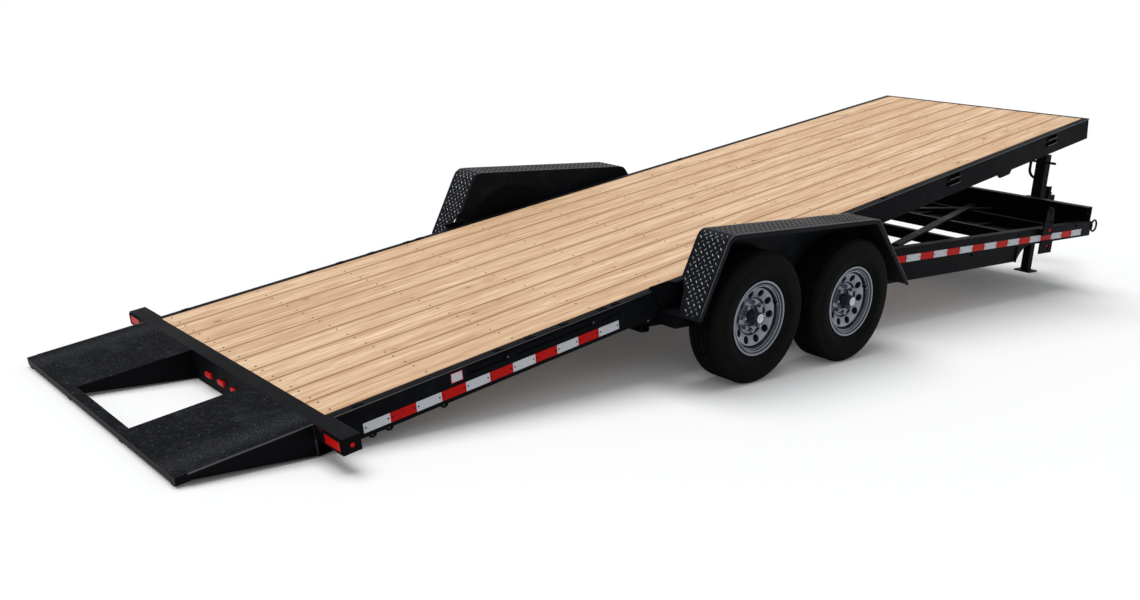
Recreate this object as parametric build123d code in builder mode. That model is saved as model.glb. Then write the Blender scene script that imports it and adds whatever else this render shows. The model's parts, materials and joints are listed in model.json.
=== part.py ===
from build123d import *
import os
from math import atan2, ceil, cos, degrees, hypot, radians, sin

# Tilt deck trailer on two axles, parked on its jack with the deck tipped to the ground.
# Lengths are in millimetres, +X points to the hitch, +Y to the left side and +Z up.
# The origin lies on the ground, in the middle of the whole length.

os.makedirs("parts", exist_ok=True)

# Wheels and axles
wheel_radius = 391
tyre_width = 235
tyre_gap = 107
axle_spacing = 2 * wheel_radius + tyre_gap
rim_half_width = 98
bead_radius = wheel_radius - 187
flange_radius = bead_radius + 18
spindle_radius = bead_radius / 8.16
stud_circle_radius = 3.302 * spindle_radius
stud_count = 8
hand_hole_count = 10
bearing_gap = 0.3
axle_tube = 76
axle_tube_ahead = 140
axle_tube_drop = 58
axle_arm_width = 2.8 * spindle_radius

# Deck: a flat frame of channels under lengthwise boards
board_width = 184
board_thickness = 38
board_count = 10
board_gap = 4
wood_length = 7010
edge_strip = 40
deck_rail_depth = 165
deck_rail_wall = 8
approach_length = 730
rear_beam_width = 80
deck_beam_width = 38
deck_beam_depth = 76
deck_beam_count = 12
stringer_width = 60
stringer_wall = 6
tilt = 10.5
deck_half = board_width * board_count / 2 + edge_strip
wood_half = deck_half - edge_strip
stringer_y = deck_half - 410
deck_length = approach_length + wood_length + edge_strip

# The wheels stand beside the deck
deck_side_gap = 77.5
track_half = deck_half + deck_side_gap + tyre_width / 2

# Knife edge approach
ramp_width = 617
ramp_outer_y = deck_half - 8
ramp_inner_y = ramp_outer_y - ramp_width
ramp_plate = 6
tip_bar_width = 50
tip_bar_depth = 40
tip_foot_depth = 10
tip_foot_size = 36
tip_height = tip_bar_depth + tip_foot_depth

# Light boxes at the tail
light_box_length = 95
light_box_extent = 235
light_box_reach = deck_half + light_box_extent
light_box_depth = 80
light_box_rim = 8
lamp_margin = 0.12 * light_box_extent
lamp_inset = 12

# Heights of the main frame
frame_top = wheel_radius + 194
frame_deep_bottom = frame_top - 245
frame_shallow_bottom = frame_top - 125
frame_tail_bottom = frame_top - 250
deck_height = frame_top + 180

# Deck pivot
pivot_ahead = 110
pivot_height = frame_top - 30
pivot_drop = deck_height - pivot_height
pivot_pin_radius = 16
pivot_eye_radius = 38
pivot_ear_thickness = 20
pivot_lug_thickness = 20
pivot_side_gap = 5

# Worked-out places of the tipped deck
tilt_cos = cos(radians(tilt))
tilt_sin = sin(radians(tilt))
# Distance from the tip of the deck to its pivot, along the deck, that lets the tip's foot touch the ground
pivot_from_tip = (pivot_height + (pivot_drop - tip_height) * tilt_cos) / tilt_sin
tail_reach = pivot_ahead - pivot_from_tip * tilt_cos - pivot_drop * tilt_sin
level_front_ahead = pivot_ahead + deck_length - pivot_from_tip

# Fenders
fender_inner_y = track_half - 114
fender_outer_y = track_half + 115
fender_top = 2 * wheel_radius + 123
fender_foot = wheel_radius + 49
fender_plate = 5
fender_lip = 28
fender_rear_foot = axle_spacing / 2 + wheel_radius + 149.5
fender_rear_corner = fender_rear_foot - 195
fender_front_foot = axle_spacing / 2 + wheel_radius + 209.5
fender_front_corner = fender_front_foot - 435
wheel_arch_gap = 12

# Main frame
frame_outer_y = deck_half - 30
frame_flange = 60
frame_wall = 8
frame_tail_behind = fender_rear_foot + 20
crossbeam_ahead = level_front_ahead + 219
crossbeam_top = frame_top + 125
crossbeam_width = 100
frame_front_ahead = crossbeam_ahead + crossbeam_width + 30
frame_step_ahead = crossbeam_ahead - 1090
frame_step_length = 190
frame_clearance = 12
cross_tube_height = 85
cross_tube_width = 60
cross_tube_count = 4
first_tube_ahead = fender_front_foot + 605
last_tube_ahead = crossbeam_ahead - 300

# Tongue, coupler and jack
tongue_spread = frame_outer_y * 2 / 3
tongue_tip_y = 60
tongue_ahead = crossbeam_ahead + 1050
tongue_width = 50
tongue_bottom = frame_shallow_bottom
tongue_depth = frame_top - frame_shallow_bottom
coupler_reach = 220
coupler_z = frame_top - 25
ball_radius = 30
jack_ahead = crossbeam_ahead + 330
jack_y = -320
jack_tube = 90
jack_leg = 68
jack_top = frame_top + 485
jack_tube_bottom = frame_top - 185
jack_foot = 150

# Cushion cylinder between the frame and the deck
cylinder_frame_ahead = axle_spacing / 2 + 315.5
cylinder_frame_height = pivot_height - 55
cylinder_deck_height = pivot_height + 45
cylinder_y = -250
barrel_radius = 38
barrel_length = 700
rod_stickout = 200
rod_radius = 19
eye_radius = 32
cylinder_pin_radius = 12
cylinder_eye_bore = 17

# Worked-out places on the ground
nose_reach = tongue_ahead + coupler_reach
axle_x = -(tail_reach + nose_reach) / 2
pivot_x = axle_x + pivot_ahead
tip_x = axle_x + tail_reach
tip_z = pivot_height - pivot_from_tip * tilt_sin + pivot_drop * tilt_cos
rear_beam_start = approach_length - rear_beam_width

deck_x_axis = Vector(tilt_cos, 0, tilt_sin)
deck_normal = Vector(-tilt_sin, 0, tilt_cos)
deck_tip = Vector(tip_x, 0, tip_z)


def deck_side(y):
    """Plane beside the deck: local x runs up the deck from its tip, local y is its normal."""
    return Plane(origin=deck_tip + Vector(0, y, 0), x_dir=deck_x_axis, z_dir=(0, -1, 0))


def deck_level(depth):
    """Plane parallel to the deck: local x runs up the deck, local y to the left."""
    return Plane(origin=deck_tip - deck_normal * depth, x_dir=deck_x_axis, z_dir=deck_normal)


def deck_cross(run):
    """Plane across the deck: local x to the left, local y is the deck's normal."""
    return Plane(origin=deck_tip + deck_x_axis * run, x_dir=(0, 1, 0), z_dir=deck_x_axis)


def upright(y):
    """Upright lengthwise plane: local x forward, local y up."""
    return Plane.XZ.offset(-y)


def across(x):
    """Upright crosswise plane: local x to the left, local y up."""
    return Plane.YZ.offset(x)


def deck_underside(x):
    """Height of the tipped deck's lower edge over a place on the trailer's length."""
    return tip_z + ((x - tip_x) * tilt_sin - deck_rail_depth) / tilt_cos


def tilted(ahead, height):
    """Place in the tipped deck of a point given beside the axles with the deck level."""
    run = ahead - pivot_ahead
    rise = height - pivot_height
    return (
        pivot_x + run * tilt_cos - rise * tilt_sin,
        pivot_height + run * tilt_sin + rise * tilt_cos,
    )


def finish(piece, node):
    piece.part.label = node
    export_step(piece.part, f"parts/{node}.step")


sides = [("left", 1), ("right", -1)]
axles = [("front", axle_x + axle_spacing / 2), ("rear", axle_x - axle_spacing / 2)]
rail_inner_y = frame_outer_y - frame_flange
rail_web_y = frame_outer_y - frame_wall

# Frame rails
frame_front = axle_x + frame_front_ahead
frame_tail = axle_x - frame_tail_behind
step_front = axle_x + frame_step_ahead + frame_step_length
step_rear = axle_x + frame_step_ahead
axle_tube_z = wheel_radius - axle_tube_drop
axle_plate = 12
frame_axle_bottom = axle_tube_z + axle_tube / 2 + axle_plate
axle_zone_front = axle_x + axle_spacing / 2 + axle_tube_ahead + 2 * axle_tube
axle_zone_rear = axle_x - axle_spacing / 2 - 2 * axle_tube
tail_drop = 60
taper_start = pivot_x - 10

# Rib at the end of a rail's deep part, and a plate with a slot that hangs under its shallow part
step_rib = 12
step_rib_behind = 30
step_rib_height = 130
hanger_ahead = 150
hanger_width = 200
hanger_drop = 88
hanger_slot = 50


def rail_outline(inset):
    """Outline of a frame rail in its upright plane, drawn in by the flange's thickness."""
    top = frame_top - inset
    tail_top = deck_underside(frame_tail) - frame_clearance - inset
    with BuildSketch(Plane.XY) as outline:
        with BuildLine():
            Polyline(
                (step_front, frame_shallow_bottom + inset),
                (frame_front, frame_shallow_bottom + inset),
                (frame_front, top),
                (taper_start, top),
                (frame_tail, tail_top),
                (frame_tail, frame_tail_bottom + inset),
                (axle_zone_rear - tail_drop, frame_tail_bottom + inset),
                (axle_zone_rear, frame_axle_bottom + inset),
                (axle_zone_front, frame_axle_bottom + inset),
                (axle_zone_front + axle_tube, frame_deep_bottom + inset),
                (step_rear, frame_deep_bottom + inset),
            )
            ThreePointArc(
                (step_rear, frame_deep_bottom + inset),
                (
                    step_rear + 0.42 * frame_step_length,
                    frame_deep_bottom + inset + 0.75 * (frame_shallow_bottom - frame_deep_bottom),
                ),
                (step_front, frame_shallow_bottom + inset),
            )
        make_face()
    return outline.sketch


for name, side in sides:
    with BuildPart() as frame_rail:
        with BuildSketch(upright(side * rail_inner_y)):
            add(rail_outline(0))
        extrude(amount=-side * frame_flange)
        with BuildSketch(upright(side * rail_inner_y)):
            add(rail_outline(frame_wall + 2))
        extrude(amount=-side * (frame_flange - frame_wall), mode=Mode.SUBTRACT)
        with BuildSketch(upright(side * frame_outer_y)):
            with Locations((step_rear - step_rib_behind, frame_deep_bottom - 4)):
                Rectangle(step_rib, step_rib_height, align=Align.MIN)
            with Locations((step_front + hanger_ahead, frame_shallow_bottom - hanger_drop)):
                Rectangle(hanger_width, hanger_drop + 2 * frame_wall, align=Align.MIN)
            with Locations((step_front + hanger_ahead + 0.7 * hanger_width, frame_shallow_bottom - hanger_drop / 2)):
                SlotOverall(hanger_slot, hanger_slot / 3, rotation=90, mode=Mode.SUBTRACT)
        extrude(amount=-side * step_rib)
    finish(frame_rail, f"frame_rail_{name}")

# Frame crossmembers, open at the front
cross_tube_pitch = (last_tube_ahead - first_tube_ahead) / (cross_tube_count - 1)
cross_tube_bottom = frame_shallow_bottom + frame_wall + 2
with BuildPart() as frame_crossmembers:
    for index in range(cross_tube_count):
        tube_x = axle_x + first_tube_ahead + index * cross_tube_pitch
        with BuildSketch(Plane.XY.offset(cross_tube_bottom)):
            with Locations((tube_x, 0)):
                Rectangle(cross_tube_width, 2 * rail_web_y)
        extrude(amount=cross_tube_height)
        with BuildSketch(across(tube_x).offset(-cross_tube_width / 2 + frame_wall)):
            with Locations((0, cross_tube_bottom + cross_tube_height / 2)):
                Rectangle(2 * rail_web_y, cross_tube_height - 2 * frame_wall)
        extrude(amount=cross_tube_width - frame_wall, mode=Mode.SUBTRACT)
finish(frame_crossmembers, "frame_crossmembers")

# Crossed braces, bars that lie on the crossmembers
brace_rear = axle_x + first_tube_ahead - cross_tube_width / 2
brace_front = axle_x + crossbeam_ahead
brace_rear_y = 0.83 * frame_outer_y
brace_front_y = 0.12 * frame_outer_y
brace_width = 70
brace_depth = 15
with BuildPart() as frame_braces:
    with BuildSketch(Plane.XY.offset(cross_tube_bottom + cross_tube_height)):
        for turn in (1, -1):
            with BuildLine():
                Polyline(
                    (brace_rear, -turn * brace_rear_y - brace_width / 2),
                    (brace_front, turn * brace_front_y - brace_width / 2),
                    (brace_front, turn * brace_front_y + brace_width / 2),
                    (brace_rear, -turn * brace_rear_y + brace_width / 2),
                    close=True,
                )
            make_face()
    extrude(amount=brace_depth)
finish(frame_braces, "frame_braces")

# Pan under the two front crossmembers, with lengthwise ribs
pan_rear = axle_x + last_tube_ahead - cross_tube_pitch - cross_tube_width / 2
pan_thickness = 5
pan_rib_count = 5
pan_rib_width = 40
with BuildPart() as front_pan:
    with BuildSketch(Plane.XY.offset(cross_tube_bottom - pan_thickness)):
        with Locations((pan_rear, 0)):
            Rectangle(
                axle_x + crossbeam_ahead - pan_rear, 2 * rail_inner_y - 10, align=(Align.MIN, Align.CENTER)
            )
    extrude(amount=pan_thickness)
    with BuildSketch(Plane.XY.offset(cross_tube_bottom)):
        with Locations((pan_rear + cross_tube_width, 0)):
            with GridLocations(0, rail_inner_y / 3, 1, pan_rib_count):
                Rectangle(cross_tube_pitch - cross_tube_width, pan_rib_width, align=(Align.MIN, Align.CENTER))
    extrude(amount=pan_rib_width / 2)
finish(front_pan, "front_pan")

# Rear crossmember, an open tube behind the ends of the frame rails
rear_member_width = 60
rear_member_bottom = frame_tail_bottom - 30
rear_member_top = frame_tail_bottom + 25
rear_member_half = frame_outer_y - 4
with BuildPart() as rear_crossmember:
    with BuildSketch(Plane.XY.offset(rear_member_bottom)):
        with Locations((frame_tail - rear_member_width / 2, 0)):
            Rectangle(rear_member_width, 2 * rear_member_half)
    extrude(amount=rear_member_top - rear_member_bottom)
    with BuildSketch(upright(rear_member_half)):
        with Locations((frame_tail - rear_member_width / 2, (rear_member_top + rear_member_bottom) / 2)):
            Rectangle(
                rear_member_width - 2 * frame_wall,
                rear_member_top - rear_member_bottom - 2 * frame_wall,
            )
    extrude(amount=2 * rear_member_half, mode=Mode.SUBTRACT)
finish(rear_crossmember, "rear_crossmember")

# Front crossbeam, as tall as a bulkhead
crossbeam_rear = axle_x + crossbeam_ahead
crossbeam_bottom = frame_shallow_bottom + 10
crossbeam_tiers = [
    (rail_inner_y, crossbeam_bottom, frame_top),
    (frame_outer_y, frame_top, crossbeam_top),
]
with BuildPart() as front_crossbeam:
    for half_width, low, high in crossbeam_tiers:
        with BuildSketch(across(crossbeam_rear)):
            with Locations((0, low)):
                Rectangle(2 * half_width, high - low, align=(Align.CENTER, Align.MIN))
        extrude(amount=crossbeam_width)
    with BuildSketch(across(crossbeam_rear)):
        with Locations((0, crossbeam_bottom + frame_wall)):
            Rectangle(
                2 * frame_outer_y,
                crossbeam_top - crossbeam_bottom - 2 * frame_wall,
                align=(Align.CENTER, Align.MIN),
            )
    extrude(amount=crossbeam_width - frame_wall, mode=Mode.SUBTRACT)
finish(front_crossbeam, "front_crossbeam")
crossbeam_front = crossbeam_rear + crossbeam_width

# Tongue: two channels that meet at an upright channel, with rows of holes for the coupler's height
tongue_front = axle_x + tongue_ahead
tongue_plate = 10
tongue_plate_width = 150
tongue_plate_height = 290
coupler_width = 100
height_channel_depth = 50
height_channel_wall = 8
height_hole_pitch = 50
height_hole_rows = 5
with BuildPart() as tongue:
    with BuildSketch(Plane.XY.offset(tongue_bottom)):
        for _, side in sides:
            with BuildLine():
                Polyline(
                    (crossbeam_front, side * (tongue_spread - tongue_width / 2)),
                    (crossbeam_front, side * (tongue_spread + tongue_width / 2)),
                    (tongue_front, side * (tongue_tip_y + tongue_width / 2)),
                    (tongue_front, side * (tongue_tip_y - tongue_width / 2)),
                    close=True,
                )
            make_face()
    extrude(amount=tongue_depth)
    with BuildSketch(across(tongue_front)):
        with Locations((0, coupler_z - tongue_plate_height / 2)):
            Rectangle(tongue_plate_width, tongue_plate_height, align=(Align.CENTER, Align.MIN))
        with Locations((0, coupler_z)):
            with GridLocations(0.7 * coupler_width, height_hole_pitch, 2, height_hole_rows):
                Circle(height_channel_wall, mode=Mode.SUBTRACT)
    extrude(amount=tongue_plate)
    with BuildSketch(across(tongue_front)):
        with Locations((0, coupler_z)):
            with GridLocations(coupler_width + 2 * height_channel_wall, 0, 2, 1):
                Rectangle(height_channel_wall, tongue_plate_height)
    extrude(amount=tongue_plate + height_channel_depth)
finish(tongue, "tongue")

# Coupler: back plate, hood with a socket for the ball, and the lever of its latch
coupler_back = tongue_front + tongue_plate
ball_x = axle_x + nose_reach - ball_radius - 16
latch_lever_width = 30
latch_lever_height = 138
with BuildPart() as coupler:
    with BuildSketch(across(coupler_back)):
        with Locations((0, coupler_z)):
            Rectangle(coupler_width, 1.5 * coupler_width)
    extrude(amount=12)
    with BuildSketch(Plane.XY.offset(coupler_z - 30)):
        with BuildLine():
            Polyline(
                (ball_x, -ball_radius - 16),
                (coupler_back + 12, -36),
                (coupler_back + 12, 36),
                (ball_x, ball_radius + 16),
            )
            ThreePointArc(
                (ball_x, ball_radius + 16), (axle_x + nose_reach, 0), (ball_x, -ball_radius - 16)
            )
        make_face()
    extrude(amount=78)
    with Locations((ball_x, 0, coupler_z + 4)):
        Sphere(ball_radius, mode=Mode.SUBTRACT)
    with BuildSketch(Plane.XY.offset(coupler_z - 30)):
        with Locations((ball_x, 0)):
            Circle(ball_radius)
    extrude(amount=34, mode=Mode.SUBTRACT)
    with BuildSketch(upright(latch_lever_width / 2)):
        with BuildLine():
            Polyline(
                (coupler_back + 40, coupler_z + 46),
                (ball_x - 20, coupler_z + 46),
                (ball_x + 6, coupler_z + 70),
                (ball_x - 20, coupler_z + 84),
                (coupler_back + 70, coupler_z + 92),
                (coupler_back + 62, coupler_z + latch_lever_height),
                (coupler_back + 44, coupler_z + latch_lever_height),
                close=True,
            )
        make_face()
    extrude(amount=latch_lever_width)
finish(coupler, "coupler")

# Jack: outer tube with its crank, bolted to the crossbeam, and a drop leg with its foot
jack_x = axle_x + jack_ahead
jack_bracket_width = 130
crank_z = jack_top - 70
crank_radius = 11
crank_reach = 70
crank_arm = 150
with BuildPart() as jack_body:
    with BuildSketch(Plane.XY.offset(jack_tube_bottom)):
        with Locations((jack_x, jack_y)):
            Rectangle(jack_tube, jack_tube)
    extrude(amount=jack_top - jack_tube_bottom)
    with BuildSketch(Plane.XY.offset(jack_tube_bottom)):
        with Locations((jack_x, jack_y)):
            Rectangle(jack_leg + 1, jack_leg + 1)
    extrude(amount=jack_top - jack_tube_bottom - 40, mode=Mode.SUBTRACT)
    with BuildSketch(Plane.XY.offset(crossbeam_bottom)):
        with Locations((crossbeam_front, jack_y)):
            Rectangle(
                jack_x - jack_tube / 2 - crossbeam_front, jack_bracket_width, align=(Align.MIN, Align.CENTER)
            )
    extrude(amount=crossbeam_top - crossbeam_bottom - 2 * frame_wall)
    with BuildSketch(upright(jack_y + jack_bracket_width / 2 - frame_wall)):
        with Locations((crossbeam_front + frame_wall, crossbeam_bottom + frame_wall)):
            Rectangle(
                jack_x - jack_tube / 2 - crossbeam_front - 2 * frame_wall,
                crossbeam_top - crossbeam_bottom - frame_wall,
                align=Align.MIN,
            )
    extrude(amount=jack_bracket_width - 2 * frame_wall, mode=Mode.SUBTRACT)
    with Locations(Location((jack_x, jack_y - jack_tube / 2, crank_z), (90, 0, 0))):
        Cylinder(crank_radius, crank_reach, align=(Align.CENTER, Align.CENTER, Align.MIN))
    with Locations(Location((jack_x, jack_y + jack_tube / 2, crank_z), (-90, 0, 0))):
        Cylinder(crank_radius, crank_reach, align=(Align.CENTER, Align.CENTER, Align.MIN))
    with BuildSketch(across(jack_x - crank_radius)):
        with BuildLine():
            Line(
                (jack_y + jack_tube / 2 + crank_reach, crank_z + crank_radius),
                (jack_y + jack_tube / 2 + crank_reach, crank_z - 0.5 * crank_arm),
            )
            ThreePointArc(
                (jack_y + jack_tube / 2 + crank_reach, crank_z - 0.5 * crank_arm),
                (jack_y + jack_tube / 2 + 0.8 * crank_reach, crank_z - 0.8 * crank_arm),
                (jack_y + jack_tube / 2 + crank_radius, crank_z - crank_arm),
            )
        trace(line_width=1.5 * crank_radius)
    extrude(amount=2 * crank_radius)
finish(jack_body, "jack_body")

with BuildPart() as jack_drop_leg:
    with BuildSketch(Plane.XY):
        with Locations((jack_x, jack_y)):
            Rectangle(jack_foot, jack_foot)
    extrude(amount=12)
    with BuildSketch(Plane.XY.offset(12)):
        with Locations((jack_x, jack_y)):
            Rectangle(jack_leg, jack_leg)
    extrude(amount=jack_tube_bottom + 250)
finish(jack_drop_leg, "jack_drop_leg")

# Axles: torsion tube, trailing arms, backing plates and spindles
arm_inner_y = track_half - 203
arm_outer_y = track_half - 165
backing_outer_y = track_half - 151
spindle_end_y = track_half + 60
backing_radius = 6.6 * spindle_radius
for name, centre_x in axles:
    tube_x = centre_x + axle_tube_ahead
    with BuildPart() as axle:
        with BuildSketch(upright(arm_inner_y)):
            with Locations((tube_x, axle_tube_z)):
                RectangleRounded(axle_tube, axle_tube, 10)
        extrude(amount=2 * arm_inner_y)
        for _, side in sides:
            with BuildSketch(Plane.XY.offset(axle_tube_z + axle_tube / 2)):
                with Locations((tube_x, side * (rail_inner_y + frame_flange / 2))):
                    Rectangle(2 * axle_tube, frame_flange)
            extrude(amount=axle_plate)
            with BuildSketch(upright(side * arm_inner_y)):
                with Locations((tube_x, axle_tube_z)):
                    Circle(axle_arm_width / 2 + 8)
                with Locations((centre_x, wheel_radius)):
                    Circle(axle_arm_width / 2)
                make_hull()
            extrude(amount=-side * (arm_outer_y - arm_inner_y))
            with BuildSketch(upright(side * arm_outer_y)):
                with Locations((centre_x, wheel_radius)):
                    Circle(backing_radius)
            extrude(amount=-side * (backing_outer_y - arm_outer_y))
            with BuildSketch(upright(side * backing_outer_y)):
                with Locations((centre_x, wheel_radius)):
                    Circle(spindle_radius)
            extrude(amount=-side * (spindle_end_y - backing_outer_y))
    finish(axle, f"axle_{name}")

# Wheels: tyre, rim with its disc, and hub with drum, studs and grease cap
tyre_half = tyre_width / 2
sidewall_radius = wheel_radius - 101
shoulder_radius = wheel_radius - 19
shoulder_half = tyre_half - 13.5
tread_half = tyre_half - 33.5
bead_half = rim_half_width - 8 - bearing_gap
nut_size = 0.56 * spindle_radius
nut_height = 26
disc_out = 34
disc_thickness = 10
disc_edge = bead_radius - 33
disc_bore = 2.44 * spindle_radius
drum_radius = 6.08 * spindle_radius
drum_wall = 8
drum_out = 6
hub_core_radius = 1.8 * spindle_radius
hub_flange_radius = 4.32 * spindle_radius
hub_barrel_radius = 1.52 * spindle_radius
hub_barrel_end = 92
grease_cap_radius = 1.2 * spindle_radius
hand_hole_radius = (disc_edge + hub_flange_radius + 5) / 2
hand_hole = 0.36 * (disc_edge - hub_flange_radius)
drum_in = backing_outer_y + 4 - track_half
for name, centre_x in axles:
    for side_name, side in sides:
        wheel_axis = Axis((centre_x, 0, wheel_radius), (0, 1, 0))

        # Sections are drawn upright through the wheel's axle: local x outward, local y is the radius
        section = Plane(
            origin=(centre_x, side * track_half, wheel_radius), x_dir=(0, side, 0), z_dir=(side, 0, 0)
        )
        with BuildPart() as tyre:
            with BuildSketch(section):
                with BuildLine():
                    Polyline(
                        (-shoulder_half, shoulder_radius),
                        (-tread_half, wheel_radius),
                        (tread_half, wheel_radius),
                        (shoulder_half, shoulder_radius),
                    )
                    ThreePointArc(
                        (shoulder_half, shoulder_radius),
                        (tyre_half, sidewall_radius),
                        (bead_half, flange_radius + 2),
                    )
                    Polyline(
                        (bead_half, flange_radius + 2),
                        (bead_half, bead_radius + bearing_gap),
                        (-bead_half, bead_radius + bearing_gap),
                        (-bead_half, flange_radius + 2),
                    )
                    ThreePointArc(
                        (-bead_half, flange_radius + 2),
                        (-tyre_half, sidewall_radius),
                        (-shoulder_half, shoulder_radius),
                    )
                make_face()
            revolve(axis=wheel_axis)
        finish(tyre, f"tyre_{name}_{side_name}")

        with BuildPart() as rim:
            with BuildSketch(section):
                with BuildLine():
                    Polyline(
                        (-rim_half_width, bead_radius - 6),
                        (-rim_half_width, flange_radius),
                        (-rim_half_width + 7, flange_radius),
                        (-rim_half_width + 8, bead_radius),
                        (rim_half_width - 8, bead_radius),
                        (rim_half_width - 7, flange_radius),
                        (rim_half_width, flange_radius),
                        (rim_half_width, bead_radius + 8),
                        (rim_half_width - 12, bead_radius - 6),
                        (rim_half_width - 24, bead_radius - 7),
                        (rim_half_width - 24, bead_radius - 10),
                        (rim_half_width - 16, bead_radius - 12),
                        (rim_half_width - 15, bead_radius - 19),
                        (rim_half_width - 32, bead_radius - 24),
                        (rim_half_width - 40, bead_radius - 27),
                        (rim_half_width - 36, disc_edge),
                        (disc_out + 8, hub_flange_radius + 4),
                        (disc_out, hub_flange_radius - 1),
                        (disc_out, disc_bore),
                        (disc_out - disc_thickness, disc_bore),
                        (disc_out - disc_thickness, hub_flange_radius + 3),
                        (disc_out - 1, hub_flange_radius + 9),
                        (rim_half_width - 47, disc_edge),
                        (rim_half_width - 48, bead_radius - 23),
                        (rim_half_width - 36, bead_radius - 15),
                        (rim_half_width - 32, bead_radius - 6),
                        close=True,
                    )
                make_face()
            revolve(axis=wheel_axis)
            with BuildSketch(upright(side * (track_half - 10))):
                with Locations((centre_x, wheel_radius)):
                    with PolarLocations(hand_hole_radius, hand_hole_count):
                        Circle(hand_hole)
            extrude(amount=-side * 80, mode=Mode.SUBTRACT)
            with BuildSketch(upright(side * (track_half + disc_out - 2))):
                with Locations((centre_x, wheel_radius)):
                    with PolarLocations(stud_circle_radius, stud_count):
                        RegularPolygon(nut_size, 6)
            extrude(amount=-side * nut_height)
        finish(rim, f"rim_{name}_{side_name}")

        with BuildPart() as hub:
            with BuildSketch(section):
                with BuildLine():
                    Polyline(
                        (drum_in, spindle_radius + bearing_gap),
                        (drum_in, hub_core_radius),
                        (drum_out - 2 * drum_wall, hub_core_radius),
                        (drum_out - 2 * drum_wall, drum_radius - drum_wall),
                        (drum_in, drum_radius - drum_wall),
                        (drum_in, drum_radius),
                        (drum_out, drum_radius),
                        (drum_out, hub_flange_radius),
                        (disc_out - disc_thickness, hub_flange_radius),
                        (disc_out - disc_thickness, hub_core_radius),
                        (disc_out - disc_thickness + 4, hub_barrel_radius),
                        (hub_barrel_end, hub_barrel_radius - 1),
                        (hub_barrel_end, grease_cap_radius + 4),
                        (hub_barrel_end + 14, grease_cap_radius),
                        (hub_barrel_end + 14, 0),
                        (spindle_end_y - track_half + 4, 0),
                        (spindle_end_y - track_half + 4, spindle_radius + bearing_gap),
                        close=True,
                    )
                make_face()
            revolve(axis=wheel_axis)
        finish(hub, f"hub_{name}_{side_name}")

# Fenders: bent plate with lips, an inner plate with wheel cut-outs between the legs
fender_rear = axle_x - fender_rear_foot
fender_front = axle_x + fender_front_foot


def fender_outline(inset, foot):
    """Outline of the fender from the side, drawn in by a plate's thickness."""
    with BuildSketch(Plane.XY) as outline:
        with BuildLine():
            FilletPolyline(
                (fender_rear + inset, foot),
                (axle_x - fender_rear_corner + inset * 0.8, fender_top - inset),
                (axle_x + fender_front_corner - inset * 0.8, fender_top - inset),
                (fender_front - inset, foot),
                radius=max(70 - inset, 20),
            )
            Line((fender_front - inset, foot), (fender_rear + inset, foot))
        make_face()
    return outline.sketch


# Notch in the inner edge of the rear slope: distance outward from that edge, height above the foot
fender_notch = [
    (-10, -10),
    (84, -10),
    (66, 60),
    (46, 140),
    (20, 185),
    (-10, 200),
]
notch_length = 0.62 * (fender_rear_foot - fender_rear_corner) + fender_plate
for name, side in sides:
    with BuildPart() as fender:
        with BuildSketch(upright(side * fender_inner_y)):
            add(fender_outline(0, fender_foot))
        extrude(amount=-side * (fender_outer_y - fender_inner_y))
        with BuildSketch(upright(side * (fender_inner_y + fender_plate))):
            add(fender_outline(fender_plate, fender_foot - 1))
        extrude(amount=-side * (fender_outer_y - fender_inner_y - 2 * fender_plate), mode=Mode.SUBTRACT)
        with BuildSketch(upright(side * (fender_outer_y - 2 * fender_plate))):
            add(fender_outline(fender_lip, fender_foot - 1))
        extrude(amount=-side * 3 * fender_plate, mode=Mode.SUBTRACT)
        with BuildSketch(across(fender_rear - fender_plate)):
            with BuildLine():
                Polyline(
                    [(side * (fender_inner_y + out), fender_foot + up) for out, up in fender_notch], close=True
                )
            make_face()
        extrude(amount=notch_length, mode=Mode.SUBTRACT)
        with BuildSketch(upright(side * (fender_inner_y - fender_plate))):
            for _, centre_x in axles:
                with Locations((centre_x, wheel_radius)):
                    Circle(wheel_radius + wheel_arch_gap)
        extrude(amount=-side * 3 * fender_plate, mode=Mode.SUBTRACT)
    finish(fender, f"fender_{name}")

# Fender brackets: three hollow outriggers of each frame rail, and an upright gusset at the rear one
bracket_depth = 78
bracket_reach = fender_inner_y + 62
gusset_inner_y = deck_half + 8
gusset_thickness = 8
rear_bracket_x = fender_rear + 60
rear_arm_bottom = fender_foot - bracket_depth
rear_arm_top = rear_arm_bottom + 24

# Outriggers of each side: middle along the length, width, start and reach
outriggers = [
    (rear_bracket_x, 120, gusset_inner_y, bracket_reach),
    (axle_x, 60, frame_outer_y, fender_inner_y + fender_plate),
    (fender_front - 50, 90, frame_outer_y, bracket_reach),
]

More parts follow.
